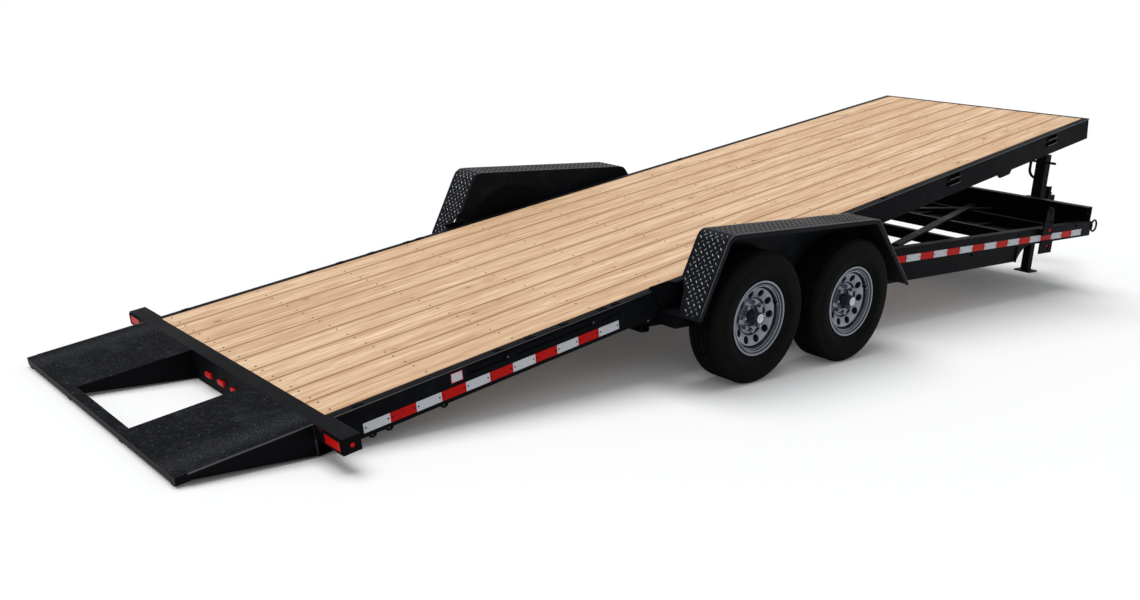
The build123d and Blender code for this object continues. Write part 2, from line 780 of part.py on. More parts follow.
# Gusset: distance ahead of the fender's rear foot and height above its underside
gusset_points = [
    (28, 0),
    (62, -bracket_depth),
    (120, -bracket_depth),
    (120, 0),
    (165, 140),
    (52, 162),
    (-92, 140),
    (-95, 125),
    (-34, 90),
    (0, 20),
]
for name, side in sides:
    with BuildPart() as fender_brackets:
        with BuildSketch(upright(side * frame_outer_y)):
            with Locations((rear_bracket_x, rear_arm_bottom)):
                Rectangle(120, rear_arm_top - rear_arm_bottom, align=(Align.CENTER, Align.MIN))
        extrude(amount=-side * (gusset_inner_y - frame_outer_y))
        for centre_x, width, inner_y, outer_y in outriggers:
            with BuildSketch(upright(side * inner_y)):
                with Locations((centre_x, fender_foot - bracket_depth / 2)):
                    Rectangle(width, bracket_depth)
                    Rectangle(width - 2 * fender_plate, bracket_depth - 2 * fender_plate, mode=Mode.SUBTRACT)
            extrude(amount=-side * (outer_y - inner_y - fender_plate))
            with BuildSketch(upright(side * (outer_y - fender_plate))):
                with Locations((centre_x, fender_foot - bracket_depth / 2)):
                    Rectangle(width, bracket_depth)
            extrude(amount=-side * fender_plate)
        with BuildSketch(upright(side * gusset_inner_y)):
            with BuildLine():
                Polyline([(fender_rear + ahead, fender_foot + up) for ahead, up in gusset_points], close=True)
            make_face()
        extrude(amount=-side * gusset_thickness)
    finish(fender_brackets, f"fender_brackets_{name}")

# Pivot crossmember with a pair of lugs on each side for the deck's ears
pivot_member_depth = 100
pivot_member_top = pivot_height - 55
lug_offset = pivot_ear_thickness / 2 + pivot_side_gap
with BuildPart() as pivot_crossmember:
    with BuildSketch(Plane.XY.offset(pivot_member_top - pivot_member_depth)):
        with Locations((pivot_x, 0)):
            Rectangle(2 * pivot_eye_radius + 24, 2 * rail_web_y)
    extrude(amount=pivot_member_depth)
    with BuildSketch(upright(rail_web_y)):
        with Locations((pivot_x, pivot_member_top - pivot_member_depth / 2)):
            Rectangle(2 * pivot_eye_radius + 24 - 2 * frame_wall, pivot_member_depth - 2 * frame_wall)
    extrude(amount=2 * rail_web_y, mode=Mode.SUBTRACT)
    for _, side in sides:
        for lug_side in (1, -1):
            with BuildSketch(upright(side * stringer_y + lug_side * lug_offset)):
                with Locations((pivot_x, pivot_height)):
                    Circle(pivot_eye_radius - 2)
                with Locations((pivot_x, pivot_member_top)):
                    Rectangle(2 * pivot_eye_radius, 2, align=(Align.CENTER, Align.MIN))
                make_hull()
                with Locations((pivot_x, pivot_height)):
                    Circle(pivot_pin_radius + bearing_gap, mode=Mode.SUBTRACT)
            extrude(amount=-lug_side * pivot_lug_thickness)
finish(pivot_crossmember, "pivot_crossmember")

# Deck latches: a block on each rail carries an upright plate, clear of the deck, with an eye at its top
latch_ahead = crossbeam_ahead - 735
latch_width = 112
latch_foot_width = 156
latch_block = 50
latch_bottom = frame_top - latch_block
latch_top = frame_top + 178
latch_thickness = 12
latch_inner_y = deck_half + 7
for name, side in sides:
    with BuildPart() as latch:
        with BuildSketch(upright(side * frame_outer_y)):
            with Locations((axle_x + latch_ahead, latch_bottom)):
                Rectangle(latch_foot_width, latch_block, align=(Align.CENTER, Align.MIN))
        extrude(amount=-side * (latch_inner_y - frame_outer_y))
        with BuildSketch(upright(side * latch_inner_y)):
            with Locations((axle_x + latch_ahead, latch_top - latch_width / 2)):
                Circle(latch_width / 2)
            with Locations((axle_x + latch_ahead, latch_bottom)):
                Rectangle(latch_foot_width, latch_block, align=(Align.CENTER, Align.MIN))
            make_hull()
            with Locations((axle_x + latch_ahead, latch_top - latch_width / 2)):
                Circle(11, mode=Mode.SUBTRACT)
        extrude(amount=-side * latch_thickness)
    finish(latch, f"deck_latch_{name}")

# Tie rings, each on a lug at the front end of a frame rail's web
ring_radius = 48
ring_bar = 8
ring_lug = 30
ring_y = rail_web_y + frame_wall / 2
ring_z = frame_top - 60
with BuildPart() as tie_rings:
    for _, side in sides:
        with BuildSketch(Plane.XY.offset(ring_z)):
            with Locations((frame_front, side * ring_y)):
                Rectangle(ring_lug, 2 * ring_bar, align=(Align.MIN, Align.CENTER))
        extrude(amount=ring_lug)
        ring_place = (frame_front + ring_lug / 2 + ring_radius, side * ring_y, ring_z + ring_lug / 2)
        with Locations(Location(ring_place, (90, 0, 0))):
            Torus(ring_radius, ring_bar)
finish(tie_rings, "tie_rings")

# Deck rails, with pairs of tie slots near the front: distances from the front and under the boards.
# A pocket in the channel closes each pair from behind, and a pad hangs under the rail.
rail_slots = [600, 1985]
rail_slot_depths = [35, 79]
rail_slot_length = 170
rail_slot_height = 30
pocket_length = rail_slot_length + 40
pocket_wall = 4
rail_hole_inset = 36
rail_hole_radius = 9
rail_pad_behind = 1270
rail_pad_length = 190
rail_pad_drop = 30
for name, side in sides:
    with BuildPart() as deck_rail:
        with BuildSketch(deck_side(side * wood_half)):
            with Locations((approach_length, -deck_rail_depth)):
                Rectangle(wood_length + edge_strip, deck_rail_depth, align=Align.MIN)
        extrude(amount=-side * edge_strip)
        with BuildSketch(deck_side(side * wood_half)):
            with Locations((approach_length, -deck_rail_depth + deck_rail_wall)):
                Rectangle(
                    wood_length + edge_strip, deck_rail_depth - 2 * deck_rail_wall, align=Align.MIN
                )
        extrude(amount=-side * (edge_strip - deck_rail_wall), mode=Mode.SUBTRACT)
        for run in rail_slots:
            with BuildSketch(deck_side(side * (wood_half + pocket_wall / 2))):
                with Locations((deck_length - run, -deck_rail_depth / 2)):
                    Rectangle(pocket_length, deck_rail_depth - deck_rail_wall)
            extrude(amount=-side * (edge_strip - pocket_wall))
            with BuildSketch(deck_side(side * (wood_half + 1.5 * pocket_wall))):
                with Locations((deck_length - run, -deck_rail_depth / 2)):
                    Rectangle(pocket_length - 2 * pocket_wall, deck_rail_depth - 2 * deck_rail_wall)
            extrude(amount=-side * (edge_strip - deck_rail_wall - 1.5 * pocket_wall), mode=Mode.SUBTRACT)
        with BuildSketch(deck_side(side * (deck_half - deck_rail_wall))):
            for run in rail_slots:
                for depth in rail_slot_depths:
                    with Locations((deck_length - run, -depth)):
                        SlotOverall(rail_slot_length, rail_slot_height)
            with Locations((deck_length - rail_hole_inset, -rail_hole_inset)):
                Circle(rail_hole_radius)
        extrude(amount=-side * 2 * deck_rail_wall, mode=Mode.SUBTRACT)
        with BuildSketch(deck_side(side * (deck_half - 2 * deck_rail_wall))):
            with Locations((deck_length - rail_pad_behind, -deck_rail_depth - rail_pad_drop)):
                Trapezoid(rail_pad_length, rail_pad_drop, 135, align=(Align.CENTER, Align.MIN))
        extrude(amount=-side * 2 * deck_rail_wall)
    finish(deck_rail, f"deck_rail_{name}")

# Deck front beam, between the rails
with BuildPart() as deck_front_beam:
    with BuildSketch(deck_side(-wood_half)):
        with Locations((deck_length - edge_strip, -deck_rail_depth)):
            Rectangle(edge_strip, deck_rail_depth, align=Align.MIN)
        with Locations((deck_length - edge_strip, -deck_rail_depth + deck_rail_wall)):
            Rectangle(
                edge_strip - deck_rail_wall,
                deck_rail_depth - 2 * deck_rail_wall,
                align=Align.MIN,
                mode=Mode.SUBTRACT,
            )
    extrude(amount=-2 * wood_half)
finish(deck_front_beam, "deck_front_beam")

# Boards
with BuildPart() as deck_boards:
    with BuildSketch(deck_level(board_thickness)):
        with Locations((approach_length + wood_length / 2, 0)):
            with GridLocations(0, board_width, 1, board_count):
                Rectangle(wood_length, board_width - board_gap)
    extrude(amount=board_thickness)
finish(deck_boards, "deck_boards")

# Deck crossmembers under the boards
beam_pitch = (wood_length - deck_beam_width) / (deck_beam_count + 1)
with BuildPart() as deck_crossmembers:
    for step in range(1, deck_beam_count + 1):
        start = approach_length + step * beam_pitch
        with BuildSketch(deck_side(-wood_half)):
            with Locations((start, -board_thickness - deck_beam_depth)):
                Rectangle(deck_beam_width, deck_beam_depth, align=Align.MIN)
            with Locations((start, -board_thickness - deck_beam_depth + 6)):
                Rectangle(deck_beam_width - 6, deck_beam_depth - 12, align=Align.MIN, mode=Mode.SUBTRACT)
        extrude(amount=-2 * wood_half)
finish(deck_crossmembers, "deck_crossmembers")

# Stringers under the crossmembers, with the pivot ears and their pins
stringer_top = board_thickness + deck_beam_depth
stringer_depth = deck_rail_depth - stringer_top
pin_half = lug_offset + pivot_lug_thickness + 8
for name, side in sides:
    with BuildPart() as deck_stringer:
        with BuildSketch(deck_cross(approach_length)):
            with Locations((side * stringer_y, -stringer_top - stringer_depth / 2)):
                Rectangle(stringer_width, stringer_depth)
                Rectangle(
                    stringer_width - 2 * stringer_wall,
                    stringer_depth - 2 * stringer_wall,
                    mode=Mode.SUBTRACT,
                )
        extrude(amount=wood_length)
        with BuildSketch(deck_side(side * stringer_y + pivot_ear_thickness / 2)):
            with Locations((pivot_from_tip, -pivot_drop)):
                Circle(pivot_eye_radius - 2)
            with Locations((pivot_from_tip, -deck_rail_depth)):
                Rectangle(3 * pivot_eye_radius, 4, align=(Align.CENTER, Align.MAX))
            make_hull()
        extrude(amount=pivot_ear_thickness)
        with BuildSketch(deck_side(side * stringer_y + pin_half)):
            with Locations((pivot_from_tip, -pivot_drop)):
                Circle(pivot_pin_radius)
        extrude(amount=2 * pin_half)
    finish(deck_stringer, f"deck_stringer_{name}")

# Rear beam of the deck with a light box at each end
lamp_length = light_box_extent - lamp_margin - light_box_rim
with BuildPart() as deck_rear_beam:
    with BuildSketch(deck_side(-deck_half)):
        with Locations((rear_beam_start, -deck_rail_depth)):
            Rectangle(rear_beam_width, deck_rail_depth, align=Align.MIN)
        with Locations((rear_beam_start + 8, -deck_rail_depth + 8)):
            Rectangle(rear_beam_width - 16, deck_rail_depth - 16, align=Align.MIN, mode=Mode.SUBTRACT)
    extrude(amount=-2 * deck_half)
    for _, side in sides:
        with BuildSketch(deck_side(side * deck_half)):
            with Locations((rear_beam_start, -light_box_depth)):
                Rectangle(light_box_length, light_box_depth, align=Align.MIN)
        extrude(amount=-side * (light_box_reach - deck_half))
        with BuildSketch(deck_side(side * (deck_half + lamp_margin))):
            with Locations((rear_beam_start, -light_box_depth + light_box_rim)):
                Rectangle(lamp_inset, light_box_depth - 2 * light_box_rim, align=Align.MIN)
        extrude(amount=-side * lamp_length, mode=Mode.SUBTRACT)
finish(deck_rear_beam, "deck_rear_beam")

# Tail lamps in the light boxes, round side markers on their ends, and three lamps on the rear beam
lamp_proud = 3
marker_radius = 10
with BuildPart() as tail_lamps:
    for _, side in sides:
        with BuildSketch(deck_side(side * (deck_half + lamp_margin))):
            with Locations((rear_beam_start - lamp_proud, -light_box_depth + light_box_rim)):
                Rectangle(lamp_inset + lamp_proud, light_box_depth - 2 * light_box_rim, align=Align.MIN)
        extrude(amount=-side * lamp_length)
        with BuildSketch(deck_side(side * light_box_reach)):
            with Locations((rear_beam_start + light_box_length / 2, -light_box_depth / 2)):
                Circle(marker_radius)
        extrude(amount=-side * 6)
finish(tail_lamps, "tail_lamps")

id_lamp_pitch = 150
id_lamp_length = 70
id_lamp_height = 26
with BuildPart() as id_lamps:
    with BuildSketch(deck_cross(rear_beam_start)):
        with Locations((0, -deck_rail_depth * 0.55)):
            with GridLocations(id_lamp_pitch, 0, 3, 1):
                RectangleRounded(id_lamp_length, id_lamp_height, 8)
    extrude(amount=-14)
finish(id_lamps, "id_lamps")

# Approach: tip bar with its feet, and two wedges, open underneath
with BuildPart() as approach_tip_bar:
    with BuildSketch(deck_side(-ramp_outer_y)):
        with Locations((0, -tip_bar_depth)):
            Rectangle(tip_bar_width, tip_bar_depth, align=Align.MIN)
    extrude(amount=-2 * ramp_outer_y)
    with BuildSketch(deck_level(tip_height)):
        for foot_y in (-ramp_outer_y + 40, -ramp_inner_y, ramp_inner_y, ramp_outer_y - 40):
            with Locations((0, foot_y)):
                Rectangle(tip_foot_size, tip_foot_size, align=(Align.MIN, Align.CENTER))
    extrude(amount=tip_foot_depth)
finish(approach_tip_bar, "approach_tip_bar")

for name, side in sides:
    with BuildPart() as ramp:
        with BuildSketch(deck_side(side * ramp_inner_y)):
            with BuildLine():
                Polyline(
                    (tip_bar_width, 0),
                    (rear_beam_start, 0),
                    (rear_beam_start, -deck_rail_depth),
                    (tip_bar_width, -tip_bar_depth),
                    close=True,
                )
            make_face()
        extrude(amount=-side * (ramp_outer_y - ramp_inner_y))
        with BuildSketch(deck_side(side * (ramp_inner_y + ramp_plate))):
            with BuildLine():
                Polyline(
                    (tip_bar_width + ramp_plate, -ramp_plate),
                    (rear_beam_start - ramp_plate, -ramp_plate),
                    (rear_beam_start - ramp_plate, -deck_rail_depth - 1),
                    (tip_bar_width + ramp_plate, -deck_rail_depth - 1),
                    close=True,
                )
            make_face()
        extrude(amount=-side * (ramp_outer_y - ramp_inner_y - 2 * ramp_plate), mode=Mode.SUBTRACT)
    finish(ramp, f"approach_ramp_{name}")

# Cushion cylinder: barrel hinged on the frame, rod with its eye round a pin on the deck
frame_pin = (axle_x + cylinder_frame_ahead, cylinder_frame_height)
cylinder_room = cylinder_frame_ahead - pivot_ahead + barrel_length + rod_stickout
cylinder_deck_beam = ceil((pivot_from_tip + cylinder_room - approach_length) / beam_pitch)
deck_pin_run = approach_length + cylinder_deck_beam * beam_pitch + deck_beam_width / 2
deck_pin_depth = deck_height - cylinder_deck_height
deck_pin = tilted(pivot_ahead + deck_pin_run - pivot_from_tip, cylinder_deck_height)
cylinder_run = hypot(deck_pin[0] - frame_pin[0], deck_pin[1] - frame_pin[1])
cylinder_slope = degrees(atan2(deck_pin[1] - frame_pin[1], deck_pin[0] - frame_pin[0]))
cylinder_direction = Vector(cos(radians(cylinder_slope)), 0, sin(radians(cylinder_slope)))
cylinder_start = Vector(frame_pin[0], cylinder_y, frame_pin[1])
cylinder_plane = Plane(origin=cylinder_start, x_dir=(0, 1, 0), z_dir=cylinder_direction)
eye_half = 16
barrel_start = eye_radius + 16
with BuildPart() as cylinder_barrel:
    with BuildSketch(cylinder_plane.offset(eye_radius - 6)):
        Circle(rod_radius)
    extrude(amount=barrel_start)
    with BuildSketch(cylinder_plane.offset(barrel_start)):
        Circle(barrel_radius)
    extrude(amount=barrel_length)
    with BuildSketch(cylinder_plane.offset(barrel_start + 12)):
        Circle(rod_radius + bearing_gap)
    extrude(amount=barrel_length, mode=Mode.SUBTRACT)
    with BuildSketch(upright(cylinder_y + eye_half)):
        with Locations(frame_pin):
            Circle(eye_radius)
    extrude(amount=2 * eye_half)
    with BuildSketch(upright(cylinder_y + eye_half)):
        with Locations(frame_pin):
            Circle(cylinder_pin_radius + bearing_gap)
    extrude(amount=2 * eye_half, mode=Mode.SUBTRACT)
finish(cylinder_barrel, "cylinder_barrel")

rod_tail = 160
with BuildPart() as cylinder_rod:
    with BuildSketch(cylinder_plane.offset(rod_tail)):
        Circle(rod_radius)
    extrude(amount=cylinder_run - rod_tail - eye_radius + 6)
    with BuildSketch(upright(cylinder_y + eye_half)):
        with Locations(deck_pin):
            Circle(eye_radius)
    extrude(amount=2 * eye_half)
    with BuildSketch(upright(cylinder_y + eye_half)):
        with Locations(deck_pin):
            Circle(cylinder_eye_bore)
    extrude(amount=2 * eye_half, mode=Mode.SUBTRACT)
finish(cylinder_rod, "cylinder_rod")

# Clevises of the cylinder: on a crossmember of the frame, and on a hanger of the deck
clevis_gap = 6
clevis_plate = 12
clevis_inner = eye_half + clevis_gap
clevis_beam_depth = 52
with BuildPart() as cylinder_frame_clevis:
    with BuildSketch(Plane.XY.offset(frame_pin[1] - 50 - clevis_beam_depth)):
        with Locations((frame_pin[0], 0)):
            Rectangle(80, 2 * rail_web_y)
    extrude(amount=clevis_beam_depth)
    for plate_side in (1, -1):
        with BuildSketch(upright(cylinder_y + plate_side * clevis_inner)):
            with Locations(frame_pin):
                Circle(eye_radius)
            with Locations((frame_pin[0], frame_pin[1] - 50)):
                Rectangle(80, 2, align=(Align.CENTER, Align.MIN))
            make_hull()
        extrude(amount=-plate_side * clevis_plate)
    with BuildSketch(upright(cylinder_y + clevis_inner + clevis_plate)):
        with Locations(frame_pin):
            Circle(cylinder_pin_radius)
    extrude(amount=2 * (clevis_inner + clevis_plate))
finish(cylinder_frame_clevis, "cylinder_frame_clevis")

with BuildPart() as cylinder_deck_clevis:
    for plate_side in (1, -1):
        with BuildSketch(deck_side(cylinder_y + plate_side * clevis_inner)):
            with Locations((deck_pin_run, -deck_pin_depth)):
                Circle(eye_radius)
            with Locations((deck_pin_run, -stringer_top)):
                Rectangle(deck_beam_width, 6, align=(Align.CENTER, Align.MAX))
            make_hull()
        extrude(amount=-plate_side * clevis_plate)
    with BuildSketch(deck_side(cylinder_y + clevis_inner + clevis_plate)):
        with Locations((deck_pin_run, -deck_pin_depth)):
            Circle(cylinder_pin_radius)
    extrude(amount=2 * (clevis_inner + clevis_plate))
finish(cylinder_deck_clevis, "cylinder_deck_clevis")
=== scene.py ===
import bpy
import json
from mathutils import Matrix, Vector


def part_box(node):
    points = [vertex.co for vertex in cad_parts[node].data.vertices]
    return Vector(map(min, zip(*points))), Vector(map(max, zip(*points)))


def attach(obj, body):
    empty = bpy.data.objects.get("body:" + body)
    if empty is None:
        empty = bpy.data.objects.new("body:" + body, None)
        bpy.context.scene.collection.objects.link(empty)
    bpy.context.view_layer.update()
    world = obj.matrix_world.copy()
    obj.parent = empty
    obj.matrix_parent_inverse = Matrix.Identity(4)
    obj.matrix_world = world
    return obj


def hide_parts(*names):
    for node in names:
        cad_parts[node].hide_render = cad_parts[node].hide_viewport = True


bl_info = {
    "name": "Tilt Deck Trailer",
    "version": (1, 0, 0),
    "blender": (4, 5, 0),
    "location": "View3D > Sidebar > Trailer",
    "description": "Boards, tyres, tread plate, reflective tape, lamps and finishes of a tilt deck trailer",
    "category": "Object",
}

import json
import math

import bmesh
import bpy
from bpy.props import FloatProperty, FloatVectorProperty, IntProperty, PointerProperty
from mathutils import Matrix, Vector

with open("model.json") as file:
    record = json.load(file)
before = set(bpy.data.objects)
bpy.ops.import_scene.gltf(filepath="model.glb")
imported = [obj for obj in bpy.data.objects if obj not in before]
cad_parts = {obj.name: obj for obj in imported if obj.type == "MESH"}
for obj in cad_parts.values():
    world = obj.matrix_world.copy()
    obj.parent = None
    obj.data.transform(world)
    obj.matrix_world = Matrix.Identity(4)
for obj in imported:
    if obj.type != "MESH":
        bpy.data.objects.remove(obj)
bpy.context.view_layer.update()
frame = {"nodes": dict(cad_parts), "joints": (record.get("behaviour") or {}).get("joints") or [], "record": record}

# The deck's plane: its surface mount gives a point on the boards and their normal
MOUNTS = {mount["name"]: mount for mount in frame["record"]["mounts"]}
JOINTS = {joint["name"]: joint for joint in frame["joints"]}
DECK_NORMAL = Vector(MOUNTS["deck_surface"]["axis"]).normalized()
DECK_RUN = Vector((DECK_NORMAL.z, 0, -DECK_NORMAL.x))
TILT = math.atan2(DECK_RUN.z, DECK_RUN.x)
SURFACE_POINT = Vector(MOUNTS["deck_surface"]["pos_m"])
TIP_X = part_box("approach_tip_bar")[0][0]
DECK_TIP = SURFACE_POINT - DECK_RUN * ((SURFACE_POINT.x - TIP_X) / DECK_RUN.x)
DECK_TIP.y = 0


def deck_place(run=0.0, side=0.0, rise=0.0):
    """Matrix of a place on the deck: metres up from its tip, to the left and above the boards."""
    place = DECK_TIP + DECK_RUN * run + DECK_NORMAL * rise
    place.y = side
    turn = Matrix((DECK_RUN, (0, 1, 0), DECK_NORMAL)).transposed()
    return Matrix.Translation(place) @ turn.to_4x4()


def run_of(x, rise=0.0):
    """Distance up the deck of a place whose x is known, on the boards or above them."""
    return (x - DECK_TIP.x + rise * DECK_RUN.z) / DECK_RUN.x


BOARDS_LOW, BOARDS_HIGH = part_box("deck_boards")
WOOD_START, WOOD_END = run_of(BOARDS_LOW[0]), run_of(BOARDS_HIGH[0])
# Gap between the boards' solid and a rail
RAIL_GAP = 0.002
WOOD_HALF = BOARDS_HIGH[1] + RAIL_GAP
DECK_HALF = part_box("deck_rail_left")[1][1]
RAIL_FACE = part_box("front_crossbeam")[1][1]
# Width of the rear beam along the deck
REAR_BEAM = 0.080
LAMP_FACE = WOOD_START - REAR_BEAM
RAMP_NOSE = 0.040
RAMP_DEPTH = 0.165
WHEELS = {
    name.removesuffix("_spin"): Vector(joint["pos_m"])
    for name, joint in JOINTS.items()
    if name.endswith("_spin")
}
WHEEL_XS = [place.x for place in WHEELS.values()]
AXLE_SPACING = max(WHEEL_XS) - min(WHEEL_XS)
AXLE_X = sum(WHEEL_XS) / len(WHEELS)
WHEEL_Z = sum(place.z for place in WHEELS.values()) / len(WHEELS)
SIDES = (("left", 1), ("right", -1))

# Fittings of the deck's rails, in metres up from the deck's tip
CLIP_RUNS = (0.883, 1.70, 1.909, 2.137, 2.411, 2.511, 2.895, 4.984)
SLIDER_RUNS = (1.76, 2.34)
HOOK_RUNS = (0.938, 1.031, 1.347)
# Lips of the rails' slots: distances behind this line, and the slots' depths under the boards
LIP_LINE = WOOD_END + 0.0625
SLOT_BEHINDS = (0.600, 1.985)
SLOT_DEPTHS = (0.035, 0.079)
# Tail lamps: their low and high edge above the boards, and their inner end out from the middle
LAMP_LOW, LAMP_HIGH, LAMP_INNER = -0.072, -0.008, 0.988
# Outer face of the deck latches
LATCH_FACE = 0.979
# Patches on the frame rails: start and end ahead of the axles, height
PATCHES = ((1.952, 2.135, 0.558), (2.504, 2.635, 0.551), (3.084, 3.203, 0.551))
# Bolts of the frame: distance ahead of the axles, out from the middle, height, share of the usual size
BOLTS = (
    (2.409, RAIL_FACE, 0.452, 1.0),
    (4.059, RAIL_FACE, 0.560, 1.0),
    (0.110, 0.922, 0.545, 1.2),
    (0.760, 0.922, 0.430, 1.2),
    (4.225, RAIL_FACE, 0.66, 0.8),
    (4.275, RAIL_FACE, 0.66, 0.8),
    (3.465, LATCH_FACE, 0.735, 1.0),
    (3.500, LATCH_FACE, 0.640, 1.0),
)
# Red buttons: distance ahead of the axles, out from the middle, height, radius, rise
BUTTONS = ((3.478, LATCH_FACE, 0.574, 0.012, 0.010), (3.557, 0.942, 0.435, 0.009, 0.006))

# The finishes' names start with this, apart from the plain ones that come with the frame
LOOK = "look_"

# Width of the photo in pixels, which the focal length counts in
FRAME_WIDTH = 1140


def length(name, default, description, low=0.0, high=10.0):
    return FloatProperty(
        name=name, default=default, description=description, unit="LENGTH", min=low, max=high, precision=4
    )


def colour(name, default, description):
    return FloatVectorProperty(
        name=name, default=default, description=description, subtype="COLOR", size=3, min=0.0, max=1.0
    )


def number(name, default, low, high, description):
    return IntProperty(name=name, default=default, min=low, max=high, description=description)


def angle(name, default, description, low=-math.pi, high=math.pi):
    return FloatProperty(
        name=name, default=default, description=description, subtype="ANGLE", min=low, max=high
    )


class DeckSizes(bpy.types.PropertyGroup):
    board_count: number("Boards", 10, 4, 20, "Boards side by side")
    board_gap: length("Board gap", 0.0022, "Gap between two boards")
    board_thickness: length("Board thickness", 0.038, "Thickness of the boards")
    board_round: length("Board edge", 0.004, "Rounding of a board's upper edges")
    screw_rows: number("Screw rows", 14, 2, 30, "Rows of deck screws")
    screw_radius: length("Screw radius", 0.006, "Radius of a deck screw's head")
    screw_inset: length("Screw inset", 0.038, "Distance of a screw from the board's edge")
    screw_end: length("Screw end", 0.045, "Distance of the first screws from the board's end")


class TapeSizes(bpy.types.PropertyGroup):
    height: length("Tape height", 0.05, "Height of the reflective tape")
    thickness: length("Tape thickness", 0.0012, "Thickness of the reflective tape")
    deck_start: length("Deck tape start", 0.888, "Distance of the deck's tape from the tip")
    deck_drop: length("Deck tape drop", 0.118, "Depth of the deck tape's middle under the boards")
    deck_piece: length("Deck tape piece", 0.1474, "Length of one colour on the deck")
    deck_count: number("Deck pieces", 11, 1, 41, "Colours in the deck's tape")
    frame_start: length("Frame tape start", 1.349, "Distance of the frame's tape ahead of the axles")
    frame_height: length("Frame tape height", 0.503, "Height of the frame tape's middle")
    frame_piece: length("Frame tape piece", 0.1757, "Length of one colour on the frame")
    frame_count: number("Frame pieces", 16, 1, 41, "Colours in the frame's tape")
    rivet_radius: length("Rivet radius", 0.005, "Radius of a rivet head in the tape")
    plate_start: length("Plate start", 1.394, "Distance of the blank plate from the deck's tip")
    plate_length: length("Plate length", 0.070, "Length of the blank plate")
    plate_height: length("Plate height", 0.051, "Height of the blank plate")
    plate_drop: length("Plate drop", 0.0465, "Depth of the plate's middle under the boards")


class TyreSizes(bpy.types.PropertyGroup):
    groove_depth: length("Groove depth", 0.009, "Depth of the tread's grooves")
    groove_width: length("Groove width", 0.010, "Width of the tread's grooves")
    zigzag: length("Zigzag", 0.0022, "Sideways wave of a groove's walls")
    notch_depth: length("Notch depth", 0.0035, "Depth of the notches in the tyre's shoulders")
    steps: number("Steps", 144, 36, 360, "Steps round the tyre")


class WheelSizes(bpy.types.PropertyGroup):
    cap_radius: length("Grease cap radius", 0.029, "Radius of the bright cap on the hub's barrel")
    nut_circle: length("Nut circle", 0.08255, "Radius of the circle of wheel nuts")
    nut_count: number("Nuts", 8, 3, 12, "Wheel nuts of one wheel")
    stud_radius: length("Stud radius", 0.0065, "Radius of a stud's end")
    stud_height: length("Stud height", 0.009, "Height of a stud's end over its nut")
    nut_seat: length("Nut seat", 0.0575, "Distance of the nuts' ends from the wheel's middle plane")
    valve_radius: length("Valve radius", 0.0045, "Radius of the valve stem")
    valve_circle: length("Valve circle", 0.178, "Distance of the valve stem from the axle")


class PlateSizes(bpy.types.PropertyGroup):
    pitch: length("Lozenge pitch", 0.041, "Distance between two raised lozenges")
    lozenge: length("Lozenge length", 0.034, "Length of a raised lozenge")
    lozenge_width: length("Lozenge width", 0.012, "Width of a raised lozenge")
    rise: length("Lozenge rise", 0.0018, "Height of a raised lozenge")
    rear_run: length("Rear slope", 0.195, "Length covered by the fender's rear slope")
    front_run: length("Front slope", 0.435, "Length covered by the fender's front slope")
    corner: length("Corner radius", 0.070, "Radius of the fender's bends")
    notch_width: length("Notch width", 0.092, "Width of the notch at the rear slope's foot")
    notch_height: length("Notch height", 0.205, "Height of that notch above the foot")
    skirt_angle: angle("Skirt angle", 2.27, "Sweep of an arch's skirt", 0.5, 3.1)
    bead: length("Edge bead", 0.003, "Radius of the bead round the fender's outer edge")


class FittingSizes(bpy.types.PropertyGroup):
    clip_length: length("Clip length", 0.050, "Length of a clip on the deck's edge")
    clip_height: length("Clip height", 0.011, "Height of a clip above the boards")
    track_start: length("Track start", 1.50, "Distance of the dark track from the deck's tip")
    track_end: length("Track end", 2.52, "Distance of the track's end from the deck's tip")
    track_drop: length("Track drop", 0.043, "Depth of the track's middle under the boards")
    track_height: length("Track height", 0.038, "Height of the track")
    lamp_rim: length("Lamp rim", 0.007, "Width of the rubber rim round a lamp")
    lamp_cover: length("Lamp cover", 0.055, "Width of the black cover at a tail lamp's inner end")
    lip: length("Ramp lip", 0.007, "Depth of the lips along the approach's sides")
    rolled: length("Rolled lip", 0.0035, "Radius of the rolled lips and edges of the deck's rails")
    bolt: length("Bolt", 0.0105, "Radius of a bolt's head")


class Finishes(bpy.types.PropertyGroup):
    paint: colour("Paint", (0.0042, 0.0048, 0.0060), "Black paint of frame and deck")
    plate: colour("Tread plate", (0.0080, 0.0092, 0.0118), "Black paint of the fenders")
    grip: colour("Grip coat", (0.0062, 0.0070, 0.0086), "Anti-skid coat of the approach")
    # The edges' paint is glossier, and lighter than the rest as a painted highlight along edges and lips, not as
    # wear
    edge: colour("Edges", (0.014, 0.0155, 0.019), "Glossy worn paint of edges and lips")
    hub: colour("Hub", (0.020, 0.027, 0.038), "Paint of the hubs")
    rubber: colour("Rubber", (0.0024, 0.0024, 0.0027), "Tyre rubber")
    rim: colour("Rim", (0.175, 0.192, 0.225), "Silver paint of the rims")
    wood_light: colour("Light wood", (0.80, 0.582, 0.372), "Pale wood of the boards")
    wood_dark: colour("Dark wood", (0.50, 0.275, 0.135), "Late growth and streaks of the boards")
    knot: colour("Knots", (0.16, 0.075, 0.032), "Knots in the boards")
    tape_red: colour("Red tape", (0.52, 0.0085, 0.0065), "Red reflective tape")
    tape_white: colour("White tape", (0.60, 0.62, 0.66), "White reflective tape")
    lens: colour("Red lens", (0.78, 0.010, 0.008), "Lamp lenses")
    steel: colour("Steel", (0.55, 0.56, 0.58), "Bare or plated steel")


